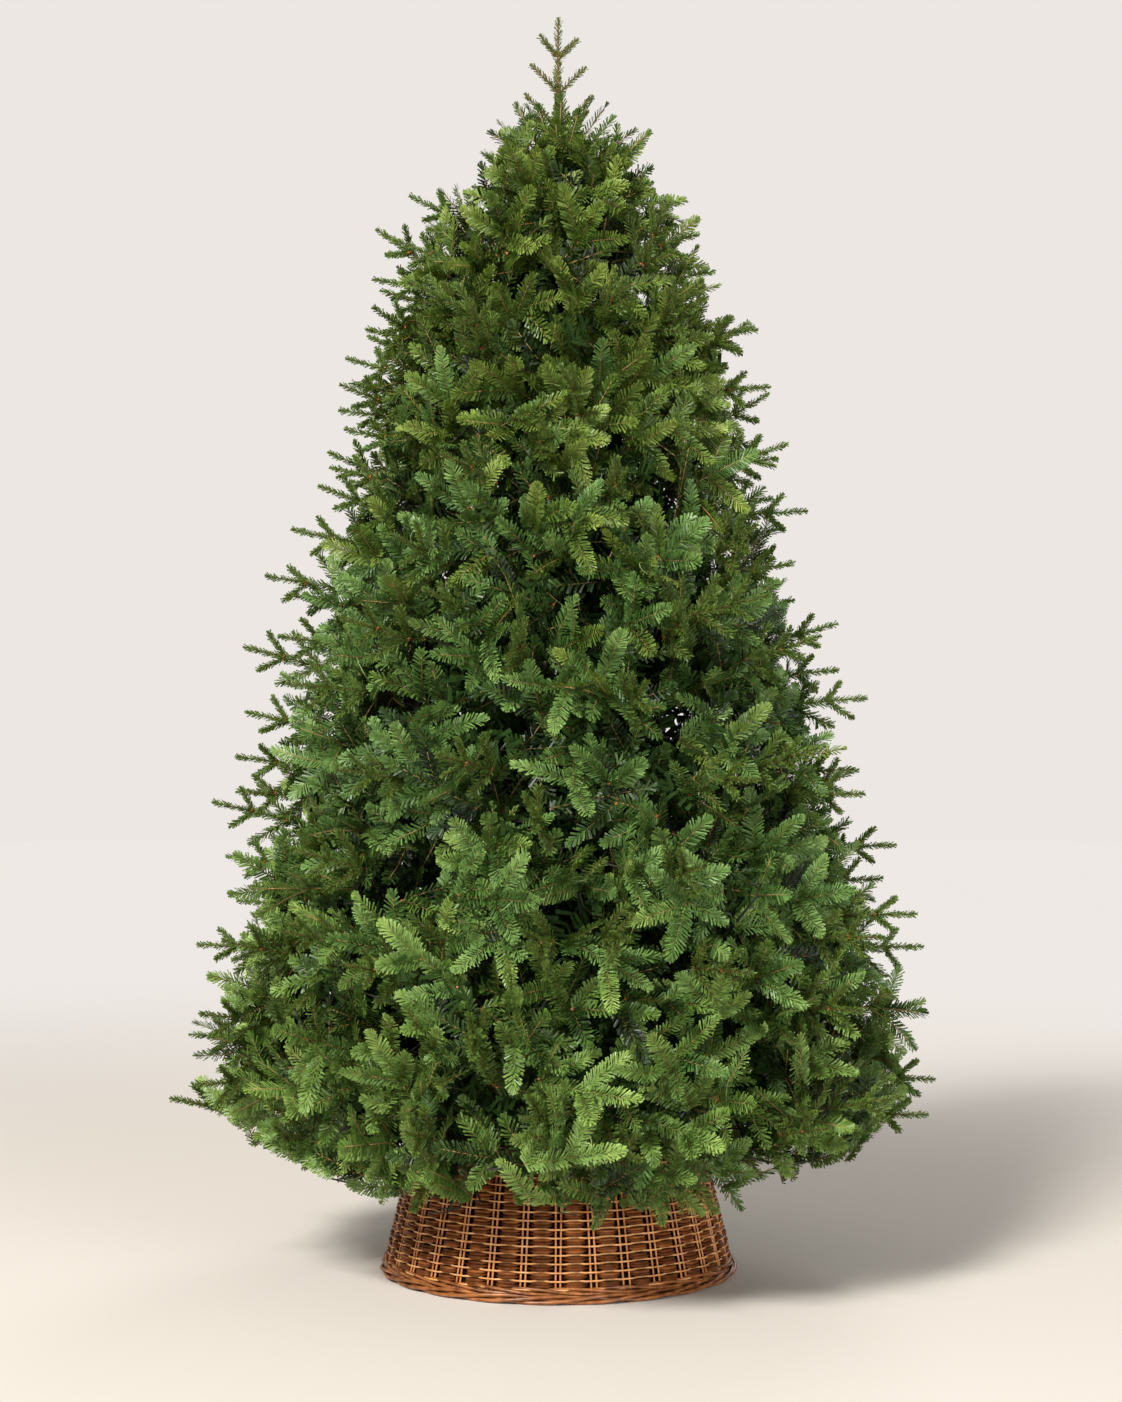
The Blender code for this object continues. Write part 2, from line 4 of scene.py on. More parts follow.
import bpy
import numpy as np
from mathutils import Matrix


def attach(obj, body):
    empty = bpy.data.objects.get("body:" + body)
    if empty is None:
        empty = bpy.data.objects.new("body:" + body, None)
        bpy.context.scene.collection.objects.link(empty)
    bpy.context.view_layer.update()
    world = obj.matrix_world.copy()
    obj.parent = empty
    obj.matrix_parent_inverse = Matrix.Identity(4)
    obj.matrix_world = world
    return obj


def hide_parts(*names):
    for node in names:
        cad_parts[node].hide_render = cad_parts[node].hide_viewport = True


# A full christmas tree in a woven collar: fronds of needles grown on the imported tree's own limbs.
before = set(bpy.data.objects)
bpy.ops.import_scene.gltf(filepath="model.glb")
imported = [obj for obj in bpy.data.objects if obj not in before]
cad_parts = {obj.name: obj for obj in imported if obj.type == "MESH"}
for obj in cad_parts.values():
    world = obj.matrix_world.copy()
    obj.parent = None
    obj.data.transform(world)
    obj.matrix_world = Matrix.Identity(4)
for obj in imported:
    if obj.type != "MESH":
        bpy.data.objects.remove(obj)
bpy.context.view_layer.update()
goldenAngle = math.pi * (3 - math.sqrt(5))
plasticNumber = 1.32471795724   # spreads points evenly over a square
up = np.array([0, 0, 1.0])
tones = np.random.default_rng(11)   # deals the colours out


# Colours and materials

def srgb(red, green, blue):
    # a screen colour of 0 to 255 as the linear colour that a shader takes
    shares = (channel / 255 for channel in (red, green, blue))
    return tuple(s / 12.92 if s <= 0.04045 else ((s + 0.055) / 1.055) ** 2.4 for s in shares)


def setSockets(node, values):
    for name, value in values.items():
        node.inputs[name].default_value = value


def joinNodes(tree, *rows):
    # each row is a node, its output, the next node and its input
    for source, output, target, name in rows:
        tree.links.new(source.outputs[output], target.inputs[name])


def newMaterial(name, roughness, metallic=0.0):
    made = bpy.data.materials.new(name)
    made.use_nodes = True
    shader = made.node_tree.nodes["Principled BSDF"]
    setSockets(shader, {"Roughness": roughness, "Metallic": metallic})
    return made, made.node_tree, shader


def mottle(tree, shader, first, second, scale, detail=3.0, stretch=(1, 1, 1), spread=(0.35, 0.65)):
    # two close colours mixed by fine noise in Object coordinates
    kinds = ("ShaderNodeTexCoord", "ShaderNodeMapping", "ShaderNodeTexNoise", "ShaderNodeValToRGB")
    place, turn, noise, ramp = (tree.nodes.new(kind) for kind in kinds)
    setSockets(turn, {"Scale": stretch})
    setSockets(noise, {"Scale": scale, "Detail": detail})
    for stop, position, colour in zip(ramp.color_ramp.elements, spread, (first, second)):
        stop.position = position
        stop.color = (*colour, 1)
    joinNodes(
        tree,
        (place, "Object", turn, "Vector"),
        (turn, "Vector", noise, "Vector"),
        (noise, "Fac", ramp, "Fac"),
        (ramp, "Color", shader, "Base Color"),
    )
    return noise


def addBump(tree, shader, noise, strength, distance):
    bump = tree.nodes.new("ShaderNodeBump")
    setSockets(bump, {"Strength": strength, "Distance": distance})
    joinNodes(tree, (noise, "Fac", bump, "Height"), (bump, "Normal", shader, "Normal"))


needleFinish = {
    "roughness": 0.46,
    "specular": 0.32,
    "coat": 0.06,
    "coatRoughness": 0.30,
    "noiseScale": 90.0,
    "contrast": 0.16,   # how far the two close tones of a spray lie apart
}
toneNames = ("fresh", "light", "middle", "deep", "shade")
needleColours = {
    "low": ((130, 156, 76), (107, 135, 62), (81, 108, 42), (48, 71, 22), (23, 39, 8)),
    "mid": ((118, 148, 78), (95, 127, 62), (66, 95, 39), (35, 58, 17), (17, 32, 7)),
    "top": ((120, 139, 60), (101, 123, 48), (75, 98, 33), (43, 63, 16), (20, 34, 7)),
    "inner": ((32, 52, 17),),
    "sparse": ((82, 104, 40),),
    "leader": ((90, 98, 44),),
}


def needleMaterial(band, tone):
    finish = needleFinish
    name = f"needles_{band}_{toneNames[tone]}"
    if name in bpy.data.materials:
        return bpy.data.materials[name]
    made, tree, shader = newMaterial(name, finish["roughness"])
    colour = np.array(srgb(*needleColours[band][tone]))
    darker = tuple(colour * (1 - finish["contrast"]))
    lighter = tuple(colour * (1 + finish["contrast"]))
    mottle(tree, shader, darker, lighter, finish["noiseScale"], 2.0)
    if band == "inner":     # dull, since it lies in the dark
        setSockets(shader, {"Specular IOR Level": 0.1, "Roughness": 0.8})
        return made
    gloss = {"Specular IOR Level": finish["specular"], "Coat Weight": finish["coat"]}
    setSockets(shader, {**gloss, "Coat Roughness": finish["coatRoughness"]})
    return made


plainFinishes = {   # two colours, noise scale, roughness, metal, bump strength and depth
    "twig_brown": ((124, 96, 52), (160, 128, 74), 60, 0.6, 0, 0.3, 0.0005),
    "twig_olive": ((84, 72, 36), (112, 92, 46), 60, 0.6, 0, 0.3, 0.0005),
    "twig_leader": ((104, 80, 40), (134, 102, 52), 60, 0.6, 0, 0.3, 0.0005),
    "bud_russet": ((138, 72, 32), (176, 106, 54), 180, 0.5, 0, 0, 0),
    "wire_green": ((126, 148, 92), (156, 174, 116), 60, 0.4, 0, 0, 0),
    "bough_bark": ((28, 32, 14), (46, 42, 22), 45, 0.75, 0, 0.6, 0.001),
    "pole_paint": ((34, 42, 26), (50, 54, 34), 30, 0.5, 0.2, 0.4, 0.001),
    "green_powder_coat": ((30, 48, 32), (42, 62, 42), 220, 0.42, 0.25, 0.25, 0.0004),
    # near black: painted shade for the inside of the collar, seen through the weave
    "wicker_painted_shade": ((16, 7, 2), (30, 13, 4), 40, 0.9, 0, 0, 0),
}


def plainMaterial(name):
    if name in bpy.data.materials:
        return bpy.data.materials[name]
    first, second, scale, roughness, metallic, strength, depth = plainFinishes[name]
    made, tree, shader = newMaterial(name, roughness, metallic)
    stretch = (1, 1, 0.2) if name == "pole_paint" else (1, 1, 1)     # drawn out along the pole
    noise = mottle(tree, shader, srgb(*first), srgb(*second), scale, stretch=stretch)
    if strength:
        addBump(tree, shader, noise, strength, depth)
    if name == "wicker_painted_shade":
        setSockets(shader, {"Specular IOR Level": 0.1})
    return made


wickerFinish = {
    "roughness": 0.36,
    "noiseScale": 55,
    "detail": 6.0,
    "spread": (0.3, 0.7),
    "bump": (0.35, 0.0008),
    "gloss": 0.4,
    "coatRoughness": 0.2,
}


def wickerMaterial(name, first, second, gloss=wickerFinish["gloss"]):
    finish = wickerFinish
    made, tree, shader = newMaterial(name, finish["roughness"])
    colours = (srgb(*first), srgb(*second))
    noise = mottle(tree, shader, *colours, finish["noiseScale"], finish["detail"], spread=finish["spread"])
    addBump(tree, shader, noise, *finish["bump"])
    setSockets(shader, {"Specular IOR Level": gloss, "Coat Weight": gloss / 3})
    setSockets(shader, {"Coat Roughness": finish["coatRoughness"]})
    return made


# Mesh helpers, all on whole arrays

def putMesh(name, shape, material, smooth=False):
    # shape is an array of corners and an array of corner numbers, with three or four to a row
    points, faces = shape
    mesh = bpy.data.meshes.new(name)
    mesh.vertices.add(len(points))
    mesh.vertices.foreach_set("co", np.ascontiguousarray(points, np.float32).ravel())
    mesh.loops.add(faces.size)
    mesh.loops.foreach_set("vertex_index", np.ascontiguousarray(faces, np.int32).ravel())
    mesh.polygons.add(len(faces))
    mesh.polygons.foreach_set("loop_start", np.arange(0, faces.size, faces.shape[1], dtype=np.int32))
    mesh.polygons.foreach_set("use_smooth", np.full(len(faces), smooth))
    mesh.update(calc_edges=True)
    mesh.materials.append(material)
    piece = bpy.data.objects.new(name, mesh)
    bpy.context.scene.collection.objects.link(piece)
    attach(piece, "root")
    print(name, len(faces), "faces")
    return piece


def putNeedles(name, shape, band, tone):
    return putMesh(name, shape, needleMaterial(band, tone))


def putWood(name, shape, finish, smooth=True):
    return putMesh(name, shape, plainMaterial(finish), smooth)


def putWicker(name, shape, material, smooth=True):
    return putMesh(name, shape, material, smooth)


def unit(vectors):
    return vectors / np.maximum(np.linalg.norm(vectors, axis=-1, keepdims=True), 1e-9)


def dot(first, second):
    return np.sum(first * second, axis=-1, keepdims=True)


def blend(first, last, share):
    # a share of the way from the first value to the last
    return first + (last - first) * share


def varied(dice, size, spread, count):
    # sizes dealt evenly up to the spread's share above and below the given one
    return size * (1 + spread * dice.uniform(-1, 1, count))


def turned(first, second, angle):
    # the first directions turned by an angle each towards the second ones, which stand square to them
    return np.cos(angle)[:, None] * first + np.sin(angle)[:, None] * second


def evenTurns(count):
    return 2 * math.pi * np.arange(count) / count


def roundPole(radius, turn, height):
    # points at a radius, a turn and a height round Z
    return np.stack(np.broadcast_arrays(radius * np.cos(turn), radius * np.sin(turn), height), -1)


def fromPole(points):
    # distance from Z
    return np.hypot(points[..., 0], points[..., 1])


def ringsOn(paths, across, over, radii, sides):
    # a ring of corners round each stop of each path, with their numbers and those of the next corners round
    turn = evenTurns(sides)
    ring = np.cos(turn)[:, None] * across[:, :, None, :] + np.sin(turn)[:, None] * over[:, :, None, :]
    points = paths[:, :, None, :] + radii[:, :, None, None] * ring
    corner = np.arange(points.size // 3).reshape(points.shape[:-1])
    return points.reshape(-1, 3), corner, np.roll(corner, -1, axis=2)


def tubes(paths, radii, sides):
    # paths is (tubes, stops, 3) and radii (tubes, stops) or a pair, from root to tip: at each stop a ring
    # stands square to the path, and flat fans of triangles close both ends
    if len(radii) == 2 and np.ndim(radii) == 1:
        radii = np.broadcast_to(np.linspace(*radii, paths.shape[1]), paths.shape[:2])
    tangent = unit(np.gradient(paths, axis=1))
    chord = unit(paths[:, -1] - paths[:, 0])
    least = np.eye(3)[np.argmin(np.abs(chord), axis=1)][:, None, :]
    across = unit(np.cross(tangent, least))
    points, corner, following = ringsOn(paths, across, np.cross(tangent, across), radii, sides)
    near, nearNext = corner[:, :-1], following[:, :-1]
    far, farNext = corner[:, 1:], following[:, 1:]
    walls = [np.stack([near, nearNext, farNext], -1), np.stack([near, farNext, far], -1)]
    fan = np.arange(1, sides - 1)
    for end, order in ((0, (0, 2, 1)), (-1, (0, 1, 2))):
        ring = corner[:, end]
        walls.append(np.stack([ring[:, np.zeros_like(fan)], ring[:, fan], ring[:, fan + 1]], -1)[..., order])
    return points, np.concatenate([wall.reshape(-1, 3) for wall in walls])


def rings(radius, height, thickness, sides):
    # closed tubes round Z: radius and height are (rings, steps), read at even turns
    centre = roundPole(radius, evenTurns(radius.shape[1]), height)
    tangent = unit(np.roll(centre, -1, axis=1) - np.roll(centre, 1, axis=1))
    across = unit(np.cross(tangent, up))
    over = np.cross(across, tangent)
    halves = np.broadcast_to(thickness, radius.shape) / 2
    points, corner, following = ringsOn(centre, across, over, halves, sides)
    ahead, aheadNext = np.roll(corner, -1, axis=1), np.roll(following, -1, axis=1)
    return points, np.stack([corner, ahead, aheadNext, following], -1).reshape(-1, 4)


def lathe(profile, steps):
    # a closed outline of (radius, height), outer side first and upwards, turned round Z
    points = roundPole(profile[:, :1], evenTurns(steps), profile[:, 1:])
    corner = np.arange(len(profile) * steps).reshape(len(profile), steps)
    following, ahead = np.roll(corner, -1, axis=1), np.roll(corner, -1, axis=0)
    aheadNext = np.roll(ahead, -1, axis=1)
    return points.reshape(-1, 3), np.stack([corner, following, aheadNext, ahead], -1).reshape(-1, 4)


# The crown's outline, and the wedge between two tier cones that each mass keeps to

crown = {
    "footZ": 0.165,
    "topZ": 2.08,
    "topRadius": 0.13,
    "shoulderZ": 1.93,
    "shoulderRadius": 0.26,
    "widestZ": 0.33,
    "widestRadius": 0.70,
    "undersideSlope": 1.2,
    "hemClearZ": 0.282,
    "hemClearRadius": 0.27,
    "hemFall": 1.15,
    "hemLowZ": 0.125,
}
tiers = {
    "masses": (6, 6, 5, 5, 4, 4, 3),
    "sprays": (13, 12, 12, 11, 11, 10, 9),
    "onBoughs": 3,
    "footSlope": -0.25,
    "topSlope": 0.85,
    "firstAzimuth": math.radians(-74),
    "boughEnd": 0.22,
    "boughToCore": 0.03,
    "poleInner": 0.055,
}


def reach(height):
    # the furthest tips: a straight flank, a cap above it that narrows faster, and an underside below it
    flankShare = (crown["shoulderZ"] - height) / (crown["shoulderZ"] - crown["widestZ"])
    capShare = (crown["topZ"] - height) / (crown["topZ"] - crown["shoulderZ"])
    flank = blend(crown["shoulderRadius"], crown["widestRadius"], flankShare)
    cap = blend(crown["topRadius"], crown["shoulderRadius"], capShare)
    underside = crown["widestRadius"] - crown["undersideSlope"] * (crown["widestZ"] - height)
    return np.minimum(np.minimum(flank, cap), np.minimum(underside, crown["widestRadius"]))


def boundary(tier, radius):
    # the cone between a tier and the one below it
    share = tier / len(tiers["masses"])
    rim = blend(crown["footZ"], crown["topZ"], share)
    return rim - blend(tiers["footSlope"], tiers["topSlope"], share) * (reach(rim) - radius)


def hem(radius):
    # the lowest that foliage may hang: over the collar's rim, and then falling outwards
    fall = crown["hemFall"] * np.maximum(0, radius - crown["hemClearRadius"])
    return np.maximum(crown["hemLowZ"], crown["hemClearZ"] - fall)


class Wedge:
    # one mass's own space: a turn round the pole between two tier boundaries
    def __init__(self, tier, place):
        self.tier, self.place = tier, place
        self.share = tier / len(tiers["masses"])
        masses = tiers["masses"][tier]
        self.azimuth = tiers["firstAzimuth"] + goldenAngle * tier + 2 * math.pi * place / masses
        self.halfAngle = math.pi / masses
        onBough = tier < tiers["onBoughs"]
        self.inner = tiers["boughEnd"] + tiers["boughToCore"] if onBough else tiers["poleInner"]

    def middle(self, radius):
        return (boundary(self.tier, radius) + boundary(self.tier + 1, radius)) / 2

    def halfHeight(self, radius):
        return (boundary(self.tier + 1, radius) - boundary(self.tier, radius)) / 2

    def outer(self):
        radius = reach(self.middle(0.3))
        for _ in range(8):
            radius = reach(self.middle(radius))
        return radius

    def point(self, radius, side, height):
        turn = self.azimuth + side * self.halfAngle
        rise = self.middle(radius) + height * self.halfHeight(radius)
        return roundPole(radius, turn, rise)

    def line(self, first, last, stops):
        # along the middle of the mass, outwards
        return self.point(np.linspace(first, last, stops), np.zeros(stops), np.zeros(stops))

    def underOutline(self, depth, side, height):
        # settles the radius at which the point lies that deep under the outline
        radius = np.full_like(side, self.outer())
        for _ in range(12):
            wanted = reach(self.point(radius, side, height)[..., 2]) - depth
            radius = (radius + np.maximum(self.inner, wanted)) / 2
        return self.point(radius, side, height)


def wedgesOf(tierCount):
    # every mass of the lowest tiers, tier by tier
    return [Wedge(tier, place) for tier in range(tierCount) for place in range(tiers["masses"][tier])]


def axesAt(points):
    # straight out from the pole at each point, and level a quarter turn on from that
    outward = unit(points * np.array([1.0, 1.0, 0.0]))
    return outward, np.stack([-outward[:, 1], outward[:, 0], np.zeros(len(outward))], -1)


# Shoots: each is an arc with a face, along which the needles stand. A set of them is a dictionary of arrays.

def outerTags(count):
    # the marks of shoots that stand in the outer layer and reach for the furthest tips
    return {"layer": np.zeros(count, int), "outgoing": np.ones(count, bool)}


def tagsOf(axes):
    return {"layer": axes["layer"], "outgoing": axes["outgoing"]}


def shootSet(base, along, face, length, bend, **more):
    # face is squared to along; bend is how far the arc turns towards its face over its length
    face = unit(face - dot(face, along) * along)
    return {"base": base, "along": along, "face": face, "length": length, "bend": bend, **more}


def onArc(shoots, share):
    # point, tangent, face and side on each arc at a share of its length: the tangent turns evenly to the face
    share = np.broadcast_to(share, (len(shoots["base"]), np.shape(share)[-1]))[..., None]
    bend = shoots["bend"][:, None, None]
    bend = np.where(np.abs(bend) < 1e-4, 1e-4, bend)
    along, face = shoots["along"][:, None], shoots["face"][:, None]
    swept = bend * share
    point = shoots["base"][:, None] + shoots["length"][:, None, None] * (
        np.sin(swept) / bend * along + (1 - np.cos(swept)) / bend * face
    )
    tangent = np.cos(swept) * along + np.sin(swept) * face
    facing = np.cos(swept) * face - np.sin(swept) * along
    side = np.broadcast_to(np.cross(shoots["along"], shoots["face"])[:, None], tangent.shape)
    return point, tangent, facing, side


def stopOn(shoots, share):
    # the same at a single stop on each arc
    return [value[:, 0] for value in onArc(shoots, share)]


def tipsOf(shoots):
    return stopOn(shoots, np.ones(1))[0]


def takeShoots(shoots, keep):
    return {key: value[keep] for key, value in shoots.items()}


def joinShoots(*sets):
    return {key: np.concatenate([shoots[key] for shoots in sets]) for key in sets[0]}


def withNeedles(shoots, lengths, widths):
    # how long and how wide the needles are, against those of the needle dictionary
    count = len(shoots["base"])
    shoots["needles"], shoots["widths"] = np.broadcast_to(lengths, count), np.broadcast_to(widths, count)
    return shoots


needle = {
    "length": 0.0195,
    "lengthSpread": 0.10,
    "width": 0.0031,
    "baseShare": 0.5,      # width at the twig against the widest
    "tipShare": 0.85,
    "wander": math.radians(7),
    "rollWander": 1.6,     # round the twig, against the wander of the lean
    "placeWander": 1.2,    # along the twig, against the needles' own spacing
    "twist": math.radians(24),
    "bristleTwist": 1.5,
    "tipLean": math.radians(16),
    "closingFrom": 0.66,   # from this share of the shoot on, the needles close towards its tip
    "tipLength": 0.72,
}
# roll from the shoot's face, lean from the twig, length, share of the stations and shift along the twig
needleRanks = (
    (96, 62, 1.00, 1.00, 0.25),
    (-96, 62, 1.00, 1.00, 0.75),
    (70, 60, 1.00, 1.00, 0.75),
    (-70, 60, 1.00, 1.00, 0.25),
    (44, 54, 0.88, 0.70, 0.40),
    (-44, 54, 0.88, 0.70, 0.90),
    (15, 46, 0.66, 0.45, 0.30),
    (-15, 46, 0.66, 0.45, 0.80),
)


def needlePlan(stations, tipNeedles):
    # share along the shoot, roll round it from its face, lean and length of every needle of one shoot:
    # four ranks to each side, shorter towards the face, and a fan at the end
    rows = []
    for roll, lean, length, share, shift in needleRanks:
        count = max(1, round(stations * share))
        rows.append(np.stack([
            (np.arange(count) + shift) / count,
            np.full(count, math.radians(roll)),
            np.full(count, math.radians(lean)),
            np.full(count, length),
        ]))
    share, roll, lean, length = np.concatenate(rows, axis=1)
    closing = np.clip((share - needle["closingFrom"]) / (1 - needle["closingFrom"]), 0, 1) ** 1.3
    lean = lean + (needle["tipLean"] - lean) * closing * 0.75
    length = length * (0.70 + 0.30 * np.clip(share / 0.2, 0, 1)) * (1 - 0.22 * closing)
    fan = np.linspace(-120, 120, tipNeedles)
    return (
        np.concatenate([share, np.ones(tipNeedles)]),
        np.concatenate([roll, np.radians(fan)]),
        np.concatenate([lean, needle["tipLean"] * (1 + 0.6 * np.cos(np.arange(tipNeedles) * math.pi))]),
        np.concatenate([length, np.full(tipNeedles, needle["tipLength"])]),
    )


def bristlePlan(stations, lean, tipNeedles):
    # short needles all round a thin twig, as on the leader and the furthest tips
    ranks = 8
    order = np.arange(stations * ranks)
    fan = np.arange(tipNeedles)
    return (
        np.concatenate([(order + 0.5) / len(order), np.ones(tipNeedles)]),
        np.concatenate([order * goldenAngle, fan * goldenAngle]),
        np.concatenate([np.full(len(order), lean), np.full(tipNeedles, needle["tipLean"])]),
        np.concatenate([0.85 + 0.15 * np.cos(order * 1.7), np.full(tipNeedles, 0.8)]),
    )


def needleCorners(shoots, plan, dice, twisting=needle["twist"]):
    # the four corners of every needle, as (shoots, needles, 4, 3): narrow on the twig and blunt at the end
    share, roll, lean, length = plan
    count, needles = len(shoots["base"]), len(share)
    jitter = dice.uniform(-1, 1, (5, count, needles))
    shares = np.clip(share + jitter[0] * needle["placeWander"] / needles, 0, 1)
    point, tangent, facing, side = onArc(shoots, shares)
    roll = (roll + jitter[1] * needle["wander"] * needle["rollWander"])[..., None]
    lean = (lean + jitter[2] * needle["wander"])[..., None]
    out = np.sin(roll) * side + np.cos(roll) * facing
    along = np.cos(lean) * tangent + np.sin(lean) * out
    across = unit(np.cross(along, facing) + 1e-6 * side)
    over = np.cross(across, along)
    twist = (jitter[3] * twisting)[..., None]
    across = np.cos(twist) * across + np.sin(twist) * over
    reachOut = needle["length"] * shoots["needles"][:, None] * length
    reachOut = (reachOut * (1 + needle["lengthSpread"] * jitter[4]))[..., None]
    half = across * (needle["width"] / 2 * shoots["widths"][:, None] * np.ones_like(length))[..., None]
    end = point + along * reachOut
    return np.stack([
        point - half * needle["baseShare"],
        point + half * needle["baseShare"],
        end + half * needle["tipShare"],
        end - half * needle["tipShare"],
    ], axis=2)


def bladeMesh(*cornerSets):
    # two triangles to a needle
    corners = np.concatenate([some.reshape(-1, 4, 3) for some in cornerSets])
    first = 4 * np.arange(len(corners))[:, None, None]
    pattern = np.array([[0, 1, 2], [0, 2, 3]])
    return corners.reshape(-1, 3), (first + pattern).reshape(-1, 3)


# Fronds: a twig with a shoot on its end and pairs of side shoots at its forks

frond = {
    "length": 0.215,
    "lengthSpread": 0.14,
    "layers": (0.058, 0.088, 0.126),    # depth of the tips under the outline, layer by layer
    "layerShares": (1.2, 0.75, 0.45),   # fronds in each layer, against the source's sprays
    "depthSpread": 0.020,
    "topDepth": 0.6,                    # the depths at the top of the crown against those at its foot
    "sideRoom": 0.030,
    "heightRoom": 0.96,
    "lean": (math.radians(30), math.radians(68)),      # turn away from straight outward
    "outgoing": 0.24,                   # share of the outer layer that points outward to the furthest tips
    "outgoingDepth": (0.000, 0.026),
    "outgoingLean": (math.radians(4), math.radians(26)),
    "outgoingTopLean": math.radians(22),    # this much more of it at the top of the crown
    "outgoingFan": 0.8,
    "fanFoot": math.radians(138),       # how far the fronds fan out from upright: at the foot and at the top
    "fanTop": math.radians(72),
    "bend": 0.40,
    "faceRise": 0.40,
    "faceWander": 0.42,
    "sideFaceWander": 0.8,              # the side shoots' faces, against that
    "forks": (0.096, 0.172),            # distance of the forks from the tip
    "shoot": 0.090,
    "shootSpread": 0.16,
    "forkAngle": math.radians(50),
    "forkWander": math.radians(9),
    "upShare": 0.40,                    # share of the fronds with one more shoot that stands up
    "upAngle": math.radians(55),
    "poleLength": (0.75, 0.03),         # at most this share of the distance from the pole, and this more
    "twig": (0.0013, 0.0008),
    "overRim": 0.035,
}


def randomUnits(dice, count):
    return unit(dice.normal(size=(count, 3)))


def fanned(tip, dice, share, outgoing):
    # directions that lean away from straight outward by a random angle, towards any side but the underneath
    count = len(tip)
    outward, aside = axesAt(tip)
    outgoingLean = dice.uniform(*frond["outgoingLean"], count)
    lean = np.where(outgoing, outgoingLean, dice.uniform(*frond["lean"], count))
    lean = lean + np.where(outgoing, frond["outgoingTopLean"] * share, 0)
    fan = blend(frond["fanFoot"], frond["fanTop"], share)
    fan = fan * np.where(outgoing, frond["outgoingFan"], 1.0) * dice.uniform(-1, 1, count)
    return outward, turned(outward, turned(up, aside, fan), lean)


def frondAxes(wedge, dice):
    # the source's even sequence of sides and heights, carried on for the deeper layers
    sprays = tiers["sprays"][wedge.tier]
    counts = [round(sprays * some) for some in frond["layerShares"]]
    layer = np.repeat(np.arange(len(counts)), counts)
    count = len(layer)
    order = np.arange(count)
    side = 2 * ((order + 0.5) / plasticNumber % 1) - 1
    height = 2 * ((order + 0.5) / plasticNumber**2 % 1) - 1
    outgoing = (layer == 0) & (dice.uniform(size=count) < frond["outgoing"])
    depth = np.array(frond["layers"])[layer] + frond["depthSpread"] * dice.uniform(-1, 1, count)
    depth = np.where(outgoing, dice.uniform(*frond["outgoingDepth"], count), depth)
    depth = depth * blend(1, frond["topDepth"], wedge.share)
    room = 1 - frond["sideRoom"] / (wedge.halfAngle * wedge.outer())
    tip = wedge.underOutline(depth, side * room, height * frond["heightRoom"])
    outward, along = fanned(tip, dice, wedge.share, outgoing)
    face = outward + frond["faceRise"] * up + frond["faceWander"] * randomUnits(dice, count)
    length = varied(dice, frond["length"], frond["lengthSpread"], count)
    share, more = frond["poleLength"]
    length = np.minimum(length, share * fromPole(tip) + more)
    bend = frond["bend"] * dice.uniform(-0.8, 0.8, count)
    axes = shootSet(tip, along, face, length, bend, layer=layer, outgoing=outgoing)
    if wedge.tier == 0:
        axes = joinShoots(axes, hangingAxes(wedge, dice))
    return overHem(rooted(axes))


hanging = {
    "count": 4,                 # fronds to each mass of the lowest tier that hang over the collar
    "radius": (0.355, 0.415),
    "overHem": (0.014, 0.050),
    "fall": (0.6, 1.1),         # downwards for each metre outwards
    "aside": 0.45,
    "length": 0.19,
    "bend": -0.2,
}


def hangingAxes(wedge, dice):
    # well apart round the collar, each at its own radius and a little over the hem
    count = hanging["count"]
    side = 2 * (np.arange(count) + dice.uniform(0.2, 0.8, count)) / count - 1
    turn = wedge.azimuth + wedge.halfAngle * side
    radius = dice.uniform(*hanging["radius"], count)
    tip = roundPole(radius, turn, hem(radius) + dice.uniform(*hanging["overHem"], count))
    outward, aside = axesAt(tip)
    down = dice.uniform(*hanging["fall"], count)[:, None]
    along = unit(outward + hanging["aside"] * dice.uniform(-1, 1, (count, 1)) * aside - down * up)
    face = outward + 0.3 * up + 0.2 * randomUnits(dice, count)
    sizes = np.full((2, count), [[hanging["length"]], [hanging["bend"]]])
    return shootSet(tip, along, face, *sizes, **outerTags(count))


def rooted(axes):
    # moves an arc back along itself, so that it ends where it began
    axes["base"] = axes["base"] * 2 - tipsOf(axes)
    return axes


def overHem(axes):
    # a frond whose root lies under the collar's rim is led over the rim and droops to its tip
    tip, root = tipsOf(axes), axes["base"]
    raised = root.copy()
    raised[:, 2] = np.maximum(root[:, 2], hem(fromPole(root)) + frond["overRim"])
    low = raised[:, 2] > root[:, 2] + 1e-6
    run = tip - raised
    axes["base"] = np.where(low[:, None], raised, root)
    axes["along"] = np.where(low[:, None], unit(run), axes["along"])
    axes["length"] = np.where(low, np.linalg.norm(run, axis=1), axes["length"])
    axes["bend"] = np.where(low, 0.02, axes["bend"])
    axes["face"] = unit(axes["face"] - dot(axes["face"], axes["along"]) * axes["along"])
    return axes


def lowered(points, room):
    # how far points lie under the hem
    return hem(fromPole(points)) + room - points[:, 2]


fit = {
    "roomHeights": (0.30, 0.45, 0.63, 0.74, 0.85, 1.13, 1.24, 1.39, 1.50, 1.62, 1.80, 1.93, 2.05),
    # how far the thick of the crown stays inside the furthest tips, at each of these heights
    "rooms": (0.058, 0.078, 0.080, 0.064, 0.090, 0.086, 0.052, 0.094, 0.040, 0.008, 0.040, 0.056, 0.096),
    "ownRoom": (0.35, 1.30),    # share of that room that each shoot keeps
    "droopZ": 0.235,            # over the collar only some shoots hang lower than this
    "droopRadius": 0.50,
    "droopShare": 0.40,
    "undersideRadius": 0.665,
    "undersideSlope": 1.5,
    "undersideZ": 0.33,
    "undersideRoom": 0.04,      # how far past it the leading shoots may reach
    "tries": 6,
    "shorten": 0.86,            # at each try, as long as the tip stands outside
    "hemRoom": 0.012,
    "slack": 0.016,
    "least": 0.045,             # shorter shoots are dropped
}


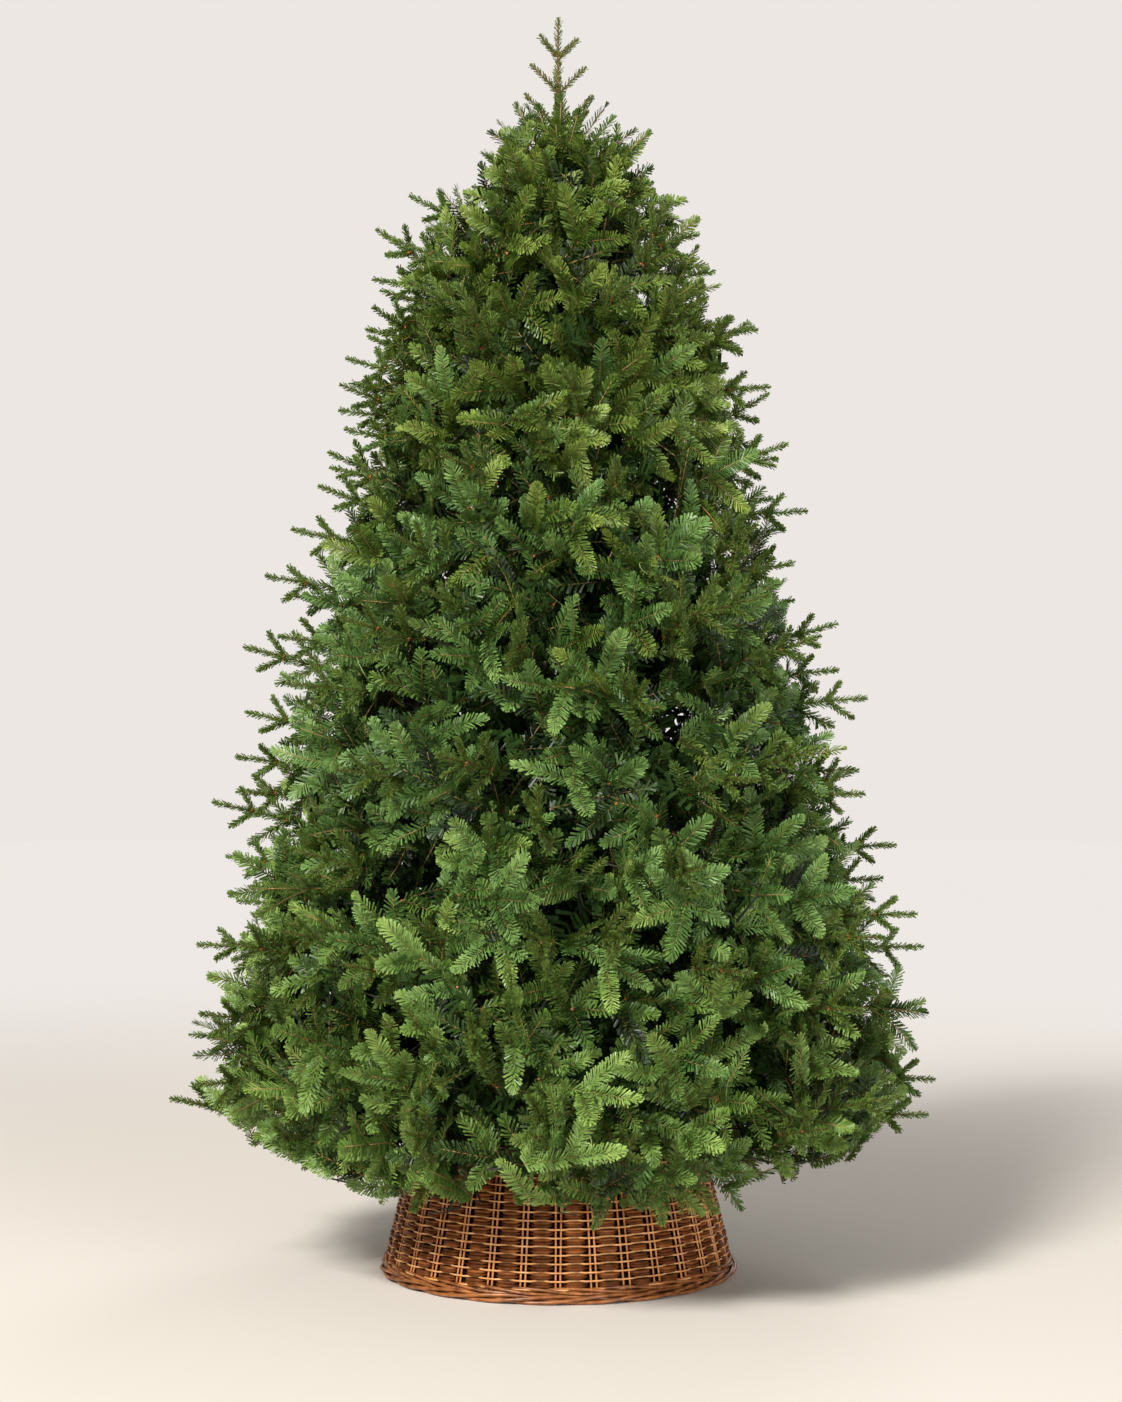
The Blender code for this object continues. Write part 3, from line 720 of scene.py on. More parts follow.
def flankRoom(height):
    # read between the heights of the table
    return np.interp(height, fit["roomHeights"], fit["rooms"])


def undersideReach(height):
    # the crown draws in towards its foot by a straight slope
    return fit["undersideRadius"] - fit["undersideSlope"] * (fit["undersideZ"] - height)


def crownReach(height, room):
    # where a shoot's tip may stand: short of the furthest tips by its room, and short of the rising underside
    return np.minimum(reach(height) - room * flankRoom(height), undersideReach(height))


def fitShoots(shoots):
    # shortens shoots that would leave the crown's reach or hang under its hem, and drops the shortest
    shoots = dict(shoots)
    own = np.random.default_rng(88).uniform(*fit["ownRoom"], len(shoots["base"]))
    room = np.where(shoots["outgoing"], 0, own)
    for _ in range(fit["tries"]):
        end = tipsOf(shoots)
        outside = (fromPole(end) > crownReach(end[:, 2], room)) | (lowered(end, fit["hemRoom"]) > 0)
        shoots["length"] = np.where(outside, shoots["length"] * fit["shorten"], shoots["length"])
    end = tipsOf(shoots)
    inside = (fromPole(end) < crownReach(end[:, 2], room) + fit["slack"]) & (lowered(end, 0) < 0)
    return takeShoots(shoots, inside & (shoots["length"] > fit["least"]))


def piecesOfFronds(axes, dice):
    # terminal shoots, the needled stretches between forks, side shoots and the odd one that stands up
    count = len(axes["base"])
    tags = tagsOf(axes)
    sets = []
    ends = (0.0, *frond["forks"])
    for number, (near, far) in enumerate(zip(ends, ends[1:])):
        base, tangent, facing, side = stopOn(axes, (1 - far / axes["length"])[:, None])
        span = np.full(count, far - near)
        stretch = shootSet(base, tangent, facing, span, axes["bend"] * span / axes["length"], **tags)
        sets.append({**stretch, "kind": np.full(count, min(number, 1))})
        for hand in (-1, 1):
            angle = frond["forkAngle"] + frond["forkWander"] * dice.uniform(-1, 1, count)
            tilt = 0.25 * dice.normal(size=count)[:, None]
            along = turned(tangent, unit(hand * side + tilt * facing), angle)
            length = varied(dice, frond["shoot"], frond["shootSpread"], count)
            face = facing + frond["faceWander"] * randomUnits(dice, count) * frond["sideFaceWander"]
            shoots = shootSet(base, along, face, length, 0.3 * dice.normal(size=count), **tags)
            shoots["kind"] = np.zeros(count, int)
            sets.append(takeShoots(shoots, (number == 0) | (axes["layer"] < 2)))
    # the one that stands up starts at the last fork, where the loop has ended
    rise = frond["upAngle"] + 0.25 * dice.normal(size=count)
    out = unit(facing + 0.5 * dice.normal(size=count)[:, None] * side)
    length = varied(dice, frond["shoot"], frond["shootSpread"], count)
    bend = 0.2 * dice.normal(size=count)
    shoots = shootSet(base, turned(tangent, out, rise), -tangent, length, bend, **tags)
    shoots["kind"] = np.zeros(count, int)
    chosen = (dice.uniform(size=count) < frond["upShare"]) & (axes["layer"] < 1)
    return joinShoots(*sets, takeShoots(shoots, chosen))


limb = {
    "back": 0.10,           # it leaves the line this much nearer the pole than the frond's root
    "firstRoot": 0.9,       # but no nearer than this share of the mass's inner radius
    "handle": 0.45,         # how far back along the frond the curve is drawn, against the gap
    "lineFrom": 0.85,       # of the inner radius
    "lineShort": 0.12,      # the line ends this far inside the outline
    "slack": 0.01,
    "radii": (0.0024, 0.0016),
    "lineRadii": (0.005, 0.003),
}


def limbsTo(wedge, axes):
    # a curved twig from the bough's own line to each frond's root, which it meets in the frond's direction
    root = axes["base"]
    start = np.clip(fromPole(root) - limb["back"], wedge.inner * limb["firstRoot"], None)
    first = wedge.point(start, np.zeros(len(root)), np.zeros(len(root)))
    gap = np.linalg.norm(root - first, axis=1, keepdims=True)
    handle = root - axes["along"] * gap * limb["handle"]
    t = np.linspace(0, 1, 5)[None, :, None]
    return (1 - t) ** 2 * first[:, None] + 2 * t * (1 - t) * handle[:, None] + t**2 * root[:, None]


def growMasses():
    # every mass's fronds, its limbs and its own bough line
    shoots, limbs, axesAll, lines = [], [], [], []
    for wedge in wedgesOf(len(tiers["masses"])):
        dice = np.random.default_rng(100 * wedge.tier + wedge.place)
        axes = frondAxes(wedge, dice)
        limbs.append(limbsTo(wedge, axes))
        shoots.append(piecesOfFronds(axes, dice))
        axesAll.append(axes)
        lines.append(wedge.line(wedge.inner * limb["lineFrom"], wedge.outer() - limb["lineShort"], 6))
    limbs, axes = np.concatenate(limbs), joinShoots(*axesAll)
    for share in (0.0, 0.5, 1.0):     # a limb is left out where its frond would leave the crown
        place = stopOn(axes, np.array([share]))[0]
        clear = (fromPole(place) < crownReach(place[:, 2], 0) + limb["slack"]) & (lowered(place, 0.0) < 0)
        limbs, axes = limbs[clear], takeShoots(axes, clear)
    return joinShoots(*shoots), limbs, np.stack(lines)


# The thinly needled shoots that stand out furthest

leading = {
    "places": ((-0.15, 0.1), (-0.7, 0.6), (0.5, -0.6), (0.8, 0.35)),
    "length": 0.25,
    # for the thin end, then for the fuller fork behind it: how far from the tip, side shoots' length, needles
    "forks": ((0.070, 0.045, 0.62), (0.135, 0.068, 0.92)),
    "angle": math.radians(42),
    "liftFoot": math.radians(6),
    "liftTop": math.radians(48),
    # single tips on the two flanks: how far out, height and degrees of lift. Eight are read off the
    # photograph, six take the width it has at their height, and the others are set near its outline.
    "flanks": (
        (0.350, 1.690, 4), (0.371, 1.585, 3), (0.393, 1.465, 2), (0.445, 1.369, 4),
        (0.276, 1.800, 12), (0.500, 1.080, 6), (0.530, 0.900, 3), (0.585, 0.700, 4),
        (-0.560, 1.120, 15), (-0.555, 1.002, 12), (-0.624, 0.838, 12), (-0.595, 0.742, 8),
        (-0.525, 1.250, 10), (-0.400, 1.440, 14), (-0.375, 1.640, 18), (-0.290, 1.850, 22),
        (-0.367, 1.595, 12), (-0.376, 1.510, 10), (-0.340, 1.695, 14), (-0.310, 1.755, 16),
        (-0.390, 1.550, 8), (-0.262, 1.935, 26), (0.224, 1.935, 26), (-0.660, 0.420, 6),
        (-0.470, 1.330, 12), (0.415, 1.270, 8), (0.245, 1.860, 20), (-0.330, 1.790, 10),
    ),
    "flankDepth": 0.06,     # how far those lie to the front or back of the middle, at most
    "placeSpread": 0.10,
    "liftSpread": 0.15,     # radians, as the turns below
    "turnSpread": 0.25,
    "flankTurn": 0.12,
    "forkSpread": 0.12,
    "lengthSpread": 0.15,
    "inset": 0.006,
    "beyond": 0.056,        # at most this far out of the crown's outline, between the next two heights
    "beyondHeights": (0.55, 1.90),
    "lowest": 0.27,
    "widths": 0.95,
    "stations": 12,
    "needleLean": math.radians(40),
    "twig": (0.0016, 0.0009),
}


def leadingAxes(wedge, dice):
    places = np.array(leading["places"])
    count = len(places)
    side, height = places.T + leading["placeSpread"] * dice.uniform(-1, 1, (2, count))
    tip = wedge.underOutline(np.zeros(count), side, height)
    outward, aside = axesAt(tip)
    first, last = leading["beyondHeights"]
    beyond = np.where((tip[:, 2] > first) & (tip[:, 2] < last), leading["beyond"], 0.0)
    beyond = beyond * dice.uniform(0.3, 1, count)
    beyond = beyond - 0.5 * np.clip(tip[:, 2] - last, 0, 1)
    tip = tip + outward * (beyond - leading["inset"])[:, None]
    lift = blend(leading["liftFoot"], leading["liftTop"], wedge.share ** 2)
    lift = lift + leading["liftSpread"] * dice.uniform(-1, 1, count)
    turn = leading["turnSpread"] * dice.uniform(-1, 1, count)
    along = unit(turned(turned(outward, aside, turn), up, lift))
    face = outward * 0.4 + aside * dice.choice((-1, 1), (count, 1)) + 0.5 * randomUnits(dice, count)
    bend = 0.22 * dice.uniform(-0.6, 1, count)
    axes = shootSet(tip, along, face, np.full(count, leading["length"]), bend, **outerTags(count))
    return overHem(rooted(axes))


def flankAxes(dice):
    far, height, lift = np.array(leading["flanks"]).T
    count = len(far)
    tip = np.stack([far, leading["flankDepth"] * dice.uniform(-1, 1, count), height], -1)
    aside = leading["flankTurn"] * dice.uniform(-1, 1, count)
    level = unit(np.stack([np.sign(far), aside, np.zeros(count)], -1))
    along = turned(level, up, np.radians(lift))
    face = np.array([0, -1.0, 0.2]) + 0.25 * randomUnits(dice, count)
    bend = 0.15 * dice.uniform(-1, 1, count)
    return rooted(shootSet(tip, along, face, np.full(count, leading["length"]), bend, **outerTags(count)))


def leadingShoots(axes, dice):
    count = len(axes["base"])
    tags = tagsOf(axes)
    sets = []
    near = 0.0
    for far, sideLength, needles in leading["forks"]:
        base, tangent, facing, side = stopOn(axes, (1 - far / axes["length"])[:, None])
        span = np.full(count, far - near)
        near = far
        fork = [shootSet(base, tangent, facing, span, axes["bend"] * span / axes["length"], **tags)]
        for hand in (-1, 1):
            angle = leading["angle"] + leading["forkSpread"] * dice.uniform(-1, 1, count)
            out = unit(hand * side + 0.2 * dice.normal(size=count)[:, None] * facing)
            length = varied(dice, sideLength, leading["lengthSpread"], count)
            bend = 0.1 * dice.normal(size=count)
            fork.append(shootSet(base, turned(tangent, out, angle), facing, length, bend, **tags))
        sets += [withNeedles(shoots, needles, leading["widths"]) for shoots in fork]
    return joinShoots(*sets)


def twigTubes(shoots, ends, sides=3):
    # ends are the radii at the root and at the tip
    return tubes(onArc(shoots, np.linspace(0, 1, 3))[0], ends, sides)


def joinMeshes(*meshes):
    points, faces, first = [], [], 0
    for some, corners in meshes:
        points.append(some)
        faces.append(corners + first)
        first += len(some)
    return np.concatenate(points), np.concatenate(faces)


# Foliage

colouring = {
    "heightSpread": 0.18,       # soft edges between the bands
    "oliveRight": 0.30,         # the right side takes the colours of a greater height
    "bandEdges": (0.62, 1.35),
    # painted shade: the layers further in are dealt darker tones
    "layerShade": 0.45,         # each layer further in is this much darker in the deal of tones
    "toneEdges": (0.40, 0.96, 1.28),
    "tipLighterFrom": 0.68,          # the needles beyond this share of a shoot are one tone lighter
}


def bandOf(shoots):
    base = shoots["base"]
    spread = colouring["heightSpread"] * tones.normal(size=len(base))
    return np.digitize(base[:, 2] + spread + colouring["oliveRight"] * base[:, 0], colouring["bandEdges"])


def toneOf(shoots):
    # outer shoots are lighter than the ones behind them: painted shade on the deeper layers, over tones dealt
    # at random
    mix = tones.uniform(size=len(shoots["base"])) + colouring["layerShade"] * shoots["layer"]
    return 1 + np.digitize(mix, colouring["toneEdges"])


filler = {
    "perSpray": 8.0,
    "footShare": 2.6,   # more of them in the lowest tier, which is seen from below and against the floor
    "places": 0.95,     # share of the mass's own turn and height that they fill
    "depth": 0.13,
    "depthPower": 1.3,  # above one, more of them lie near the outside
    "core": 0.05,       # nearest the pole
    "edgeRoom": 0.036,  # over the hem and inside the rising underside
    "highest": 1.97,
    "length": 0.13,
    "poleLength": 0.7,  # at most this share of the distance from the pole
    "plan": (3, 2),     # stations and tip needles
    "needles": 1.6,
    "widths": 3.2,
}


def fillerShoots():
    # coarse dark shoots behind the fronds, which keep daylight out of the crown's middle
    sets = []
    for wedge in wedgesOf(len(tiers["masses"])):
        dice = np.random.default_rng(5000 + 100 * wedge.tier + wedge.place)
        more = filler["footShare"] if wedge.tier == 0 else 1
        count = int(tiers["sprays"][wedge.tier] * filler["perSpray"] * more)
        side, height = dice.uniform(-1, 1, (2, count))
        room = max(0.02, wedge.outer() - filler["core"] - filler["depth"])
        depth = filler["depth"] + room * dice.uniform(size=count) ** filler["depthPower"]
        tip = wedge.underOutline(depth, side * filler["places"], height * filler["places"])
        radius = np.maximum(filler["core"], wedge.outer() - depth)[:, None]
        tip = tip * np.minimum(1, radius / np.hypot(tip[:, :1], tip[:, 1:2])) ** (1, 1, 0)
        outward, _ = axesAt(tip)
        along = unit(outward * 0.5 + randomUnits(dice, count) + 0.2 * up)
        length = np.minimum(filler["length"], filler["poleLength"] * fromPole(tip))
        base = tip - along * length[:, None]
        face = outward + 0.4 * randomUnits(dice, count)
        shoots = shootSet(base, along, face, length, np.zeros(count), layer=np.full(count, 3))
        clear = np.maximum(lowered(tip, filler["edgeRoom"]), lowered(base, filler["edgeRoom"])) < 0
        clear &= np.maximum(tip[:, 2], base[:, 2]) < filler["highest"]
        lowest = np.minimum(tip[:, 2], base[:, 2]) - filler["edgeRoom"]
        widest = np.maximum(fromPole(tip), fromPole(base))
        clear &= widest < undersideReach(lowest) - filler["edgeRoom"]
        sets.append(takeShoots(shoots, clear))
    return withNeedles(joinShoots(*sets), filler["needles"], filler["widths"])


def nodesOfTiers(kind, first, last):
    starts = tuple(f"{kind}_tier_{tier}_" for tier in range(first, last))
    return [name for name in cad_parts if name.startswith(starts)]


bandNames = ("low", "mid", "top")
bandTiers = ((1, 3), (3, 5), (5, 8))      # each band's first tier and the one past its last
needlePlans = {      # stations and tip needles by layer and by kind: a shoot with a tip, or a stretch without
    (0, 0): (18, 10), (0, 1): (14, 0),
    (1, 0): (11, 7), (1, 1): (9, 0),
    (2, 0): (5, 5), (2, 1): (4, 0),
}
layerWidths = (1.0, 1.25, 1.7)      # the fewer needles of a deeper layer are wider


def makeFoliage():
    shoots, limbs, lines = growMasses()
    shoots = fitShoots(shoots)
    end = tipsOf(shoots)
    low = (end[:, 2] < fit["droopZ"]) & (fromPole(end) < fit["droopRadius"])
    outer = (shoots["layer"] == 0) & (shoots["kind"] == 0)
    kept = shoots["outgoing"] | (tones.uniform(size=len(low)) < fit["droopShare"])
    shoots = takeShoots(shoots, ~low | outer & kept)
    lengths = varied(tones, 1, needle["lengthSpread"], len(shoots["base"]))
    shoots = withNeedles(shoots, lengths, np.array(layerWidths)[shoots["layer"]])
    bands, grades = bandOf(shoots), toneOf(shoots)
    dice = np.random.default_rng(21)
    for band, bandName in enumerate(bandNames):
        heaps = [[] for _ in toneNames]
        for tone in range(1, len(toneNames)):
            for (layer, kind), numbers in needlePlans.items():
                plan = needlePlan(*numbers)
                chosen = (bands == band) & (grades == tone)
                chosen = chosen & (shoots["layer"] == layer) & (shoots["kind"] == kind)
                corners = needleCorners(takeShoots(shoots, chosen), plan, dice)
                # needles towards a shoot's tip take the next lighter tone
                tipward = (plan[0] > colouring["tipLighterFrom"]) & (kind == 0)
                heaps[tone].append(corners[:, ~tipward])
                heaps[tone - 1].append(corners[:, tipward])
        for tone, toneName in enumerate(toneNames):
            name = f"needles_{bandName}_{toneName}"
            piece = putNeedles(name, bladeMesh(*heaps[tone]), bandName, tone)
            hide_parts(*nodesOfTiers("foliage", *bandTiers[band]))
    inner = needleCorners(fillerShoots(), needlePlan(*filler["plan"]), dice)
    putNeedles("needles_inner", bladeMesh(inner), "inner", 0)
    makeSmallThings(shoots, makeLeading())
    twigs = twigTubes(shoots, frond["twig"])
    putWood("twigs", twigs, "twig_brown")
    branches = joinMeshes(tubes(limbs, limb["radii"], 4), tubes(lines, limb["lineRadii"], 6))
    putWood("branches", branches, "bough_bark")


def makeLeading():
    dice = np.random.default_rng(33)
    sets = [leadingShoots(leadingAxes(wedge, dice), dice) for wedge in wedgesOf(len(tiers["masses"]))]
    shoots = joinShoots(*sets, leadingShoots(flankAxes(dice), dice))
    tip = tipsOf(shoots)
    under = fromPole(tip) < undersideReach(tip[:, 2]) + fit["undersideRoom"]
    shoots = takeShoots(shoots, under & (tip[:, 2] > leading["lowest"]))
    plan = bristlePlan(leading["stations"], leading["needleLean"], 6)
    needles = bladeMesh(needleCorners(shoots, plan, dice, needle["bristleTwist"]))
    putNeedles("needles_sparse", needles, "sparse", 0)
    twigs = twigTubes(shoots, leading["twig"], 4)
    putWood("leading_twigs", twigs, "twig_olive")
    return shoots


# Small things among the shoots: russet buds at the forks and a few curled green wires

smallThings = {
    "budRadius": 0.0024,
    "budLength": 0.0055,
    "budSpread": (0.8, 1.2),
    "budShare": 0.28,           # share of the forks that have one
    "budPlace": (0.004, 0.0025),    # from the fork along the shoot, and out from it
    "wires": 42,
    "wireRadius": 0.0006,
    "wireStart": 0.03,
    "wireStops": 22,
    "wireTurn": (3.4, 6.6),     # radians from end to end
    "wireCurl": (0.014, 0.028),
    "wireClosing": 0.45,        # how much tighter the curl is at its end
}


def budMesh(places, along, dice, scale=1.0):
    # two four-sided pyramids to a bud, joined at its widest
    count = len(places)
    radius, length = smallThings["budRadius"], smallThings["budLength"]
    along = unit(along + 0.5 * randomUnits(dice, count))
    across = unit(np.cross(along, randomUnits(dice, count)))
    over = np.cross(along, across)
    size = scale * dice.uniform(*smallThings["budSpread"], (count, 1))
    corners = np.stack([
        places - 0.3 * length * along * size,
        places + across * radius * size, places + over * radius * size,
        places - across * radius * size, places - over * radius * size,
        places + 0.9 * length * along * size,
    ], axis=1)
    sides = [(i + 1, (i + 1) % 4 + 1) for i in range(4)]
    walls = [(after, before, 0) for before, after in sides] + [(5, before, after) for before, after in sides]
    first = 6 * np.arange(count)[:, None, None]
    return corners.reshape(-1, 3), (first + np.array(walls)).reshape(-1, 3)


def makeSmallThings(shoots, leadingOnes):
    dice = np.random.default_rng(55)
    sizes = smallThings
    forks = takeShoots(shoots, (shoots["layer"] < 2) & (shoots["kind"] == 0))
    chosen = dice.uniform(size=len(forks["base"])) < sizes["budShare"]
    keys = ("base", "along", "face")
    base, along, face = (np.concatenate([forks[key][chosen], leadingOnes[key]]) for key in keys)
    places = base + along * sizes["budPlace"][0] + face * sizes["budPlace"][1]
    putWood("buds", budMesh(places, along, dice), "bud_russet", False)
    outer = takeShoots(shoots, (shoots["layer"] == 0) & (shoots["kind"] == 0))
    picked = takeShoots(outer, dice.permutation(len(outer["base"]))[: sizes["wires"]])
    count = len(picked["base"])
    share = np.linspace(0, 1, sizes["wireStops"])
    turn = share[None] * dice.uniform(*sizes["wireTurn"], (count, 1))
    curl = dice.uniform(*sizes["wireCurl"], (count, 1)) * (1 - sizes["wireClosing"] * share)
    side = np.cross(picked["along"], picked["face"])
    forward = unit(picked["face"] + picked["along"])
    start = picked["base"] + picked["along"] * sizes["wireStart"]
    paths = start[:, None] + (np.cos(turn) * curl - curl[:, :1])[..., None] * side[:, None]
    paths = paths + (np.sin(turn) * curl)[..., None] * forward[:, None]
    wires = tubes(paths, np.full(turn.shape, sizes["wireRadius"]), 4)
    putMesh("curled_wires", wires, plainMaterial("wire_green"), smooth=True)


# Leader, the upright shoot on top

leader = {
    "foot": 1.9953,
    "top": 2.25,
    "radii": (0.0036, 0.0013),
    "whorls": (     # height, length of the side shoots, degrees round the stem from +X
        (2.053, 0.082, (6, 174, 268)),
        (2.119, 0.062, (-8, 190, 95)),
        (2.183, 0.044, (7, 180)),
    ),
    "angle": math.radians(44),
    "stagger": 0.004,
    "stretches": ((2.09, 0.08), (2.17, 0.078)),     # needled stretches of the stem: foot and length
    "sideNeedles": 0.62,
    "stemNeedles": 0.72,
    "widths": 0.90,
    "stations": 11,
    "needleLean": math.radians(40),
    "footShoots": 5,        # needles round the foot of the stem
    "footZ": 1.985,
    "footLength": 0.115,
    "footNeedles": 0.80,
    "sideTwig": (0.0020, 0.0012),
    "budScale": 1.25,
}
ruff = {
    "shoots": 16,           # full shoots that stand up and out round the leader's foot
    "lean": (0.38, 0.62),   # radians from upright for the first, and how much more for the last
    "radius": (0.006, 0.036),
    "height": (2.000, -0.025),
    "length": (0.108, 0.120),
    "bend": -0.25,
    "twig": (0.0012, 0.0007),
}


def ruffShoots(dice):
    # each stands a golden turn on from the last, a little further out, lower and more laid out
    count = ruff["shoots"]
    turn = goldenAngle * np.arange(count) + dice.uniform(-0.2, 0.2, count)
    share = (np.arange(count) + 0.5) / count
    outward = roundPole(1.0, turn, 0)
    lean, radius, height = (ruff[key][0] + ruff[key][1] * share for key in ("lean", "radius", "height"))
    lean = lean + dice.uniform(-0.08, 0.08, count)
    base = outward * radius[:, None] + up * height[:, None]
    face = -turned(outward, -up, lean) + 0.5 * randomUnits(dice, count)
    length = dice.uniform(*ruff["length"], count)
    bend = ruff["bend"] * dice.uniform(0, 1, count)
    shoots = shootSet(base, turned(up, outward, lean), face, length, bend, layer=np.zeros(count, int))
    return withNeedles(shoots, 1.0, 1.0)


def whorlShoots():
    # foot, direction and length of every side shoot of the leader, all at one angle to the stem
    dice = random.Random(7)
    base, turn, length = [], [], []
    for height, size, degrees in leader["whorls"]:
        for i, some in enumerate(degrees):
            turn.append(math.radians(some + dice.uniform(-4, 4)))
            base.append((0, 0, height + leader["stagger"] * i))
            length.append(size)
    sine, cosine = math.sin(leader["angle"]), math.cos(leader["angle"])
    along = np.array([(math.cos(some) * sine, math.sin(some) * sine, cosine) for some in turn])
    return np.array(base, float), along, np.array(length)


def uprightShoots(foot, face, length):
    count = len(face)
    base = np.zeros((count, 3)) + np.reshape(foot, (-1, 1)) * up
    along, length = np.tile(up, (count, 1)), np.broadcast_to(length, count)
    return shootSet(base, along, face, length, np.zeros(count), layer=np.zeros(count, int))


def makeLeader():
    base, along, length = whorlShoots()
    count = len(base)
    dice = np.random.default_rng(7)
    bend = 0.12 * dice.normal(size=count)
    side = shootSet(base, along, np.tile(up, (count, 1)), length, bend, layer=np.zeros(count, int))
    feet, lengths = np.array(leader["stretches"]).T
    stem = uprightShoots(feet, np.array([[0, -1.0, 0], [1.0, 0.3, 0]]), lengths)
    thin = joinShoots(side, stem)
    needles = np.where(np.arange(len(thin["base"])) < count, leader["sideNeedles"], leader["stemNeedles"])
    thin = withNeedles(thin, needles, leader["widths"])
    outward = roundPole(1.0, evenTurns(leader["footShoots"]), 0)
    foot = uprightShoots(leader["footZ"], outward, leader["footLength"])
    foot = withNeedles(foot, leader["footNeedles"], leader["footNeedles"])
    thick = needleCorners(foot, needlePlan(15, 0), dice)
    plan = bristlePlan(leader["stations"], leader["needleLean"], 8)
    needles = bladeMesh(needleCorners(thin, plan, dice, needle["bristleTwist"]), thick)
    piece = putNeedles("leader_needles", needles, "leader", 0)
    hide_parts("leader")
    places = np.concatenate([base + along * 0.003, stem["base"][1:] + 0.016 * up])
    buds = budMesh(places, np.concatenate([along, stem["along"][1:]]), dice, leader["budScale"])
    putWood("leader_buds", buds, "bud_russet", False)
    crownTop = ruffShoots(dice)
    needles = bladeMesh(needleCorners(crownTop, needlePlan(*needlePlans[0, 0]), dice))
    putNeedles("crown_needles", needles, "top", 2)
    twigs = twigTubes(crownTop, ruff["twig"], 4)
    putWood("crown_twigs", twigs, "twig_brown")
    path = np.linspace(leader["foot"], leader["top"], 8)[None, :, None] * up
    shape = joinMeshes(tubes(path, leader["radii"], 8), twigTubes(side, leader["sideTwig"], 5))
    putWood("leader_stem", shape, "twig_leader")


# Pole and boughs

pole = {
    "ends": (0.012, 1.995),
    "sections": ((0.86, 0.019), (1.48, 0.016), (2.0, 0.012)),     # top of each section and its radius
    "sleeves": ((0.86, 0.93, 0.022), (1.48, 1.55, 0.019)),     # from, to and radius
    "taperFrom": 1.55,
    "taperRun": 0.445,
    "taper": 0.005,
    "inset": 0.0008,        # the relief stays inside the solid
    "relief": 0.0007,
    "steps": 260,
    "turns": 40,
}


def makePole():
    # the radius follows the sections and sleeves, and waves round the pole and up it give the relief
    steps, turns = pole["steps"], pole["turns"]
    z = np.linspace(*pole["ends"], steps)
    tops, radii = zip(*pole["sections"])
    radius = np.select([z < top for top in tops], radii)
    for first, last, sleeve in pole["sleeves"]:
        radius = np.where((z > first) & (z < last), sleeve, radius)
    taper = radii[-1] - pole["taper"] * (z - pole["taperFrom"]) / pole["taperRun"]
    radius = np.where(z > pole["taperFrom"], taper, radius)[:, None]
    turn = evenTurns(turns)[None, :]
    z = z[:, None]
    ridges = pole["relief"] * np.sin(7 * turn + 1.3 * np.sin(z * 31)) * np.cos(z * 83 + 3 * turn)
    points = roundPole(radius - pole["inset"] + ridges, turn, z).reshape(-1, 3)
    corner = np.arange(steps * turns).reshape(steps, turns)
    following = np.roll(corner, -1, axis=1)
    walls = np.stack([corner[:-1], following[:-1], following[1:], corner[1:]], -1).reshape(-1, 4)
    foot, head = len(points), len(points) + 1
    lower = np.stack([following[0], corner[0], np.full(turns, foot)], -1)
    upper = np.stack([corner[-1], following[-1], np.full(turns, head)], -1)
    triangles = np.concatenate([walls[:, (0, 1, 2)], walls[:, (0, 2, 3)], lower, upper])
    points = np.concatenate([points, np.array(pole["ends"])[:, None] * up])
    piece = putWood("pole", (points, triangles), "pole_paint")
    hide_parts("trunk_pole")


boughs = {
    "levelTo": 0.05,        # level this far from the pole's middle
    "radii": (0.0075, 0.0045),
    "wrap": 0.0006,         # the wrapped strip's ridges
    "stops": (6, 34),
}


def makeBoughs():
    # each bough runs level out of the pole and then along the middle of its tier, wrapped in strip
    paths = []
    for wedge in wedgesOf(tiers["onBoughs"]):
        level, end = wedge.line(boughs["levelTo"], tiers["boughEnd"], 2)
        root = level * (0.4, 0.4, 1)
        inner, outer = (np.linspace(0, 1, stops)[:, None] for stops in boughs["stops"])
        paths.append(np.concatenate([blend(root, level, inner), blend(level, end, outer[1:])]))
    paths = np.stack(paths)
    stops = paths.shape[1]
    ridge = boughs["wrap"] * np.cos(np.arange(stops) * math.pi)
    radii = np.broadcast_to(np.linspace(*boughs["radii"], stops) + ridge, paths.shape[:2])
    piece = putWood("boughs", tubes(paths, radii, 8), "bough_bark")
    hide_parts(*nodesOfTiers("bough", 1, 4))


# Woven collar

collar = {
    "footRadius": 0.318,
    "height": 0.262,
    "narrowing": 0.237,
    "pairs": 32,
    "pairGap": 0.0086,
    "pairRadius": 0.29,         # where that gap is measured
    "stake": 0.0038,
    "stakeColours": ((164, 94, 42), (230, 154, 88)),
    "stakeTuck": 0.006,         # how far the stakes run into the braids
    "weaveTuck": 0.004,
    "stakeWander": 0.0025,      # radians
    "stakeLean": 0.004,
    "rowRise": 0.0047,
    "rowWave": 0.0005,
    "rowWander": 0.0005,
    "rowSpread": 0.06,          # of a row's thickness
    # thickness at and between the pairs, how far out it stands there
    "overStakes": (0.0031, 0.0044, 0.0038, -0.0026),
    "betweenStakes": (0.0030, 0.0062, -0.0080, 0.0024),
    "wall": 0.010,
    "footBraid": 0.026,
    "rimBraid": 0.020,
    "weavers": (        # name, two colours and gloss
        # pale for the rows in front of the stakes, painted light; warm and dark for the rows behind them,
        # painted shade
        ("pale", (190, 122, 64), (248, 190, 128), 0.45),
        ("warm", (104, 56, 22), (158, 94, 44), 0.16),
        ("dark", (70, 34, 12), (120, 66, 28), 0.12),
    ),
    "braidColours": ((86, 43, 16), (176, 110, 56)),
    # the dark sheet inside the wall is painted shade, which darkens the gaps in the weave
    "shadeGap": 0.0005,         # the thin dark lining stands this far inside the wall
    "shadeWall": 0.0015,
}
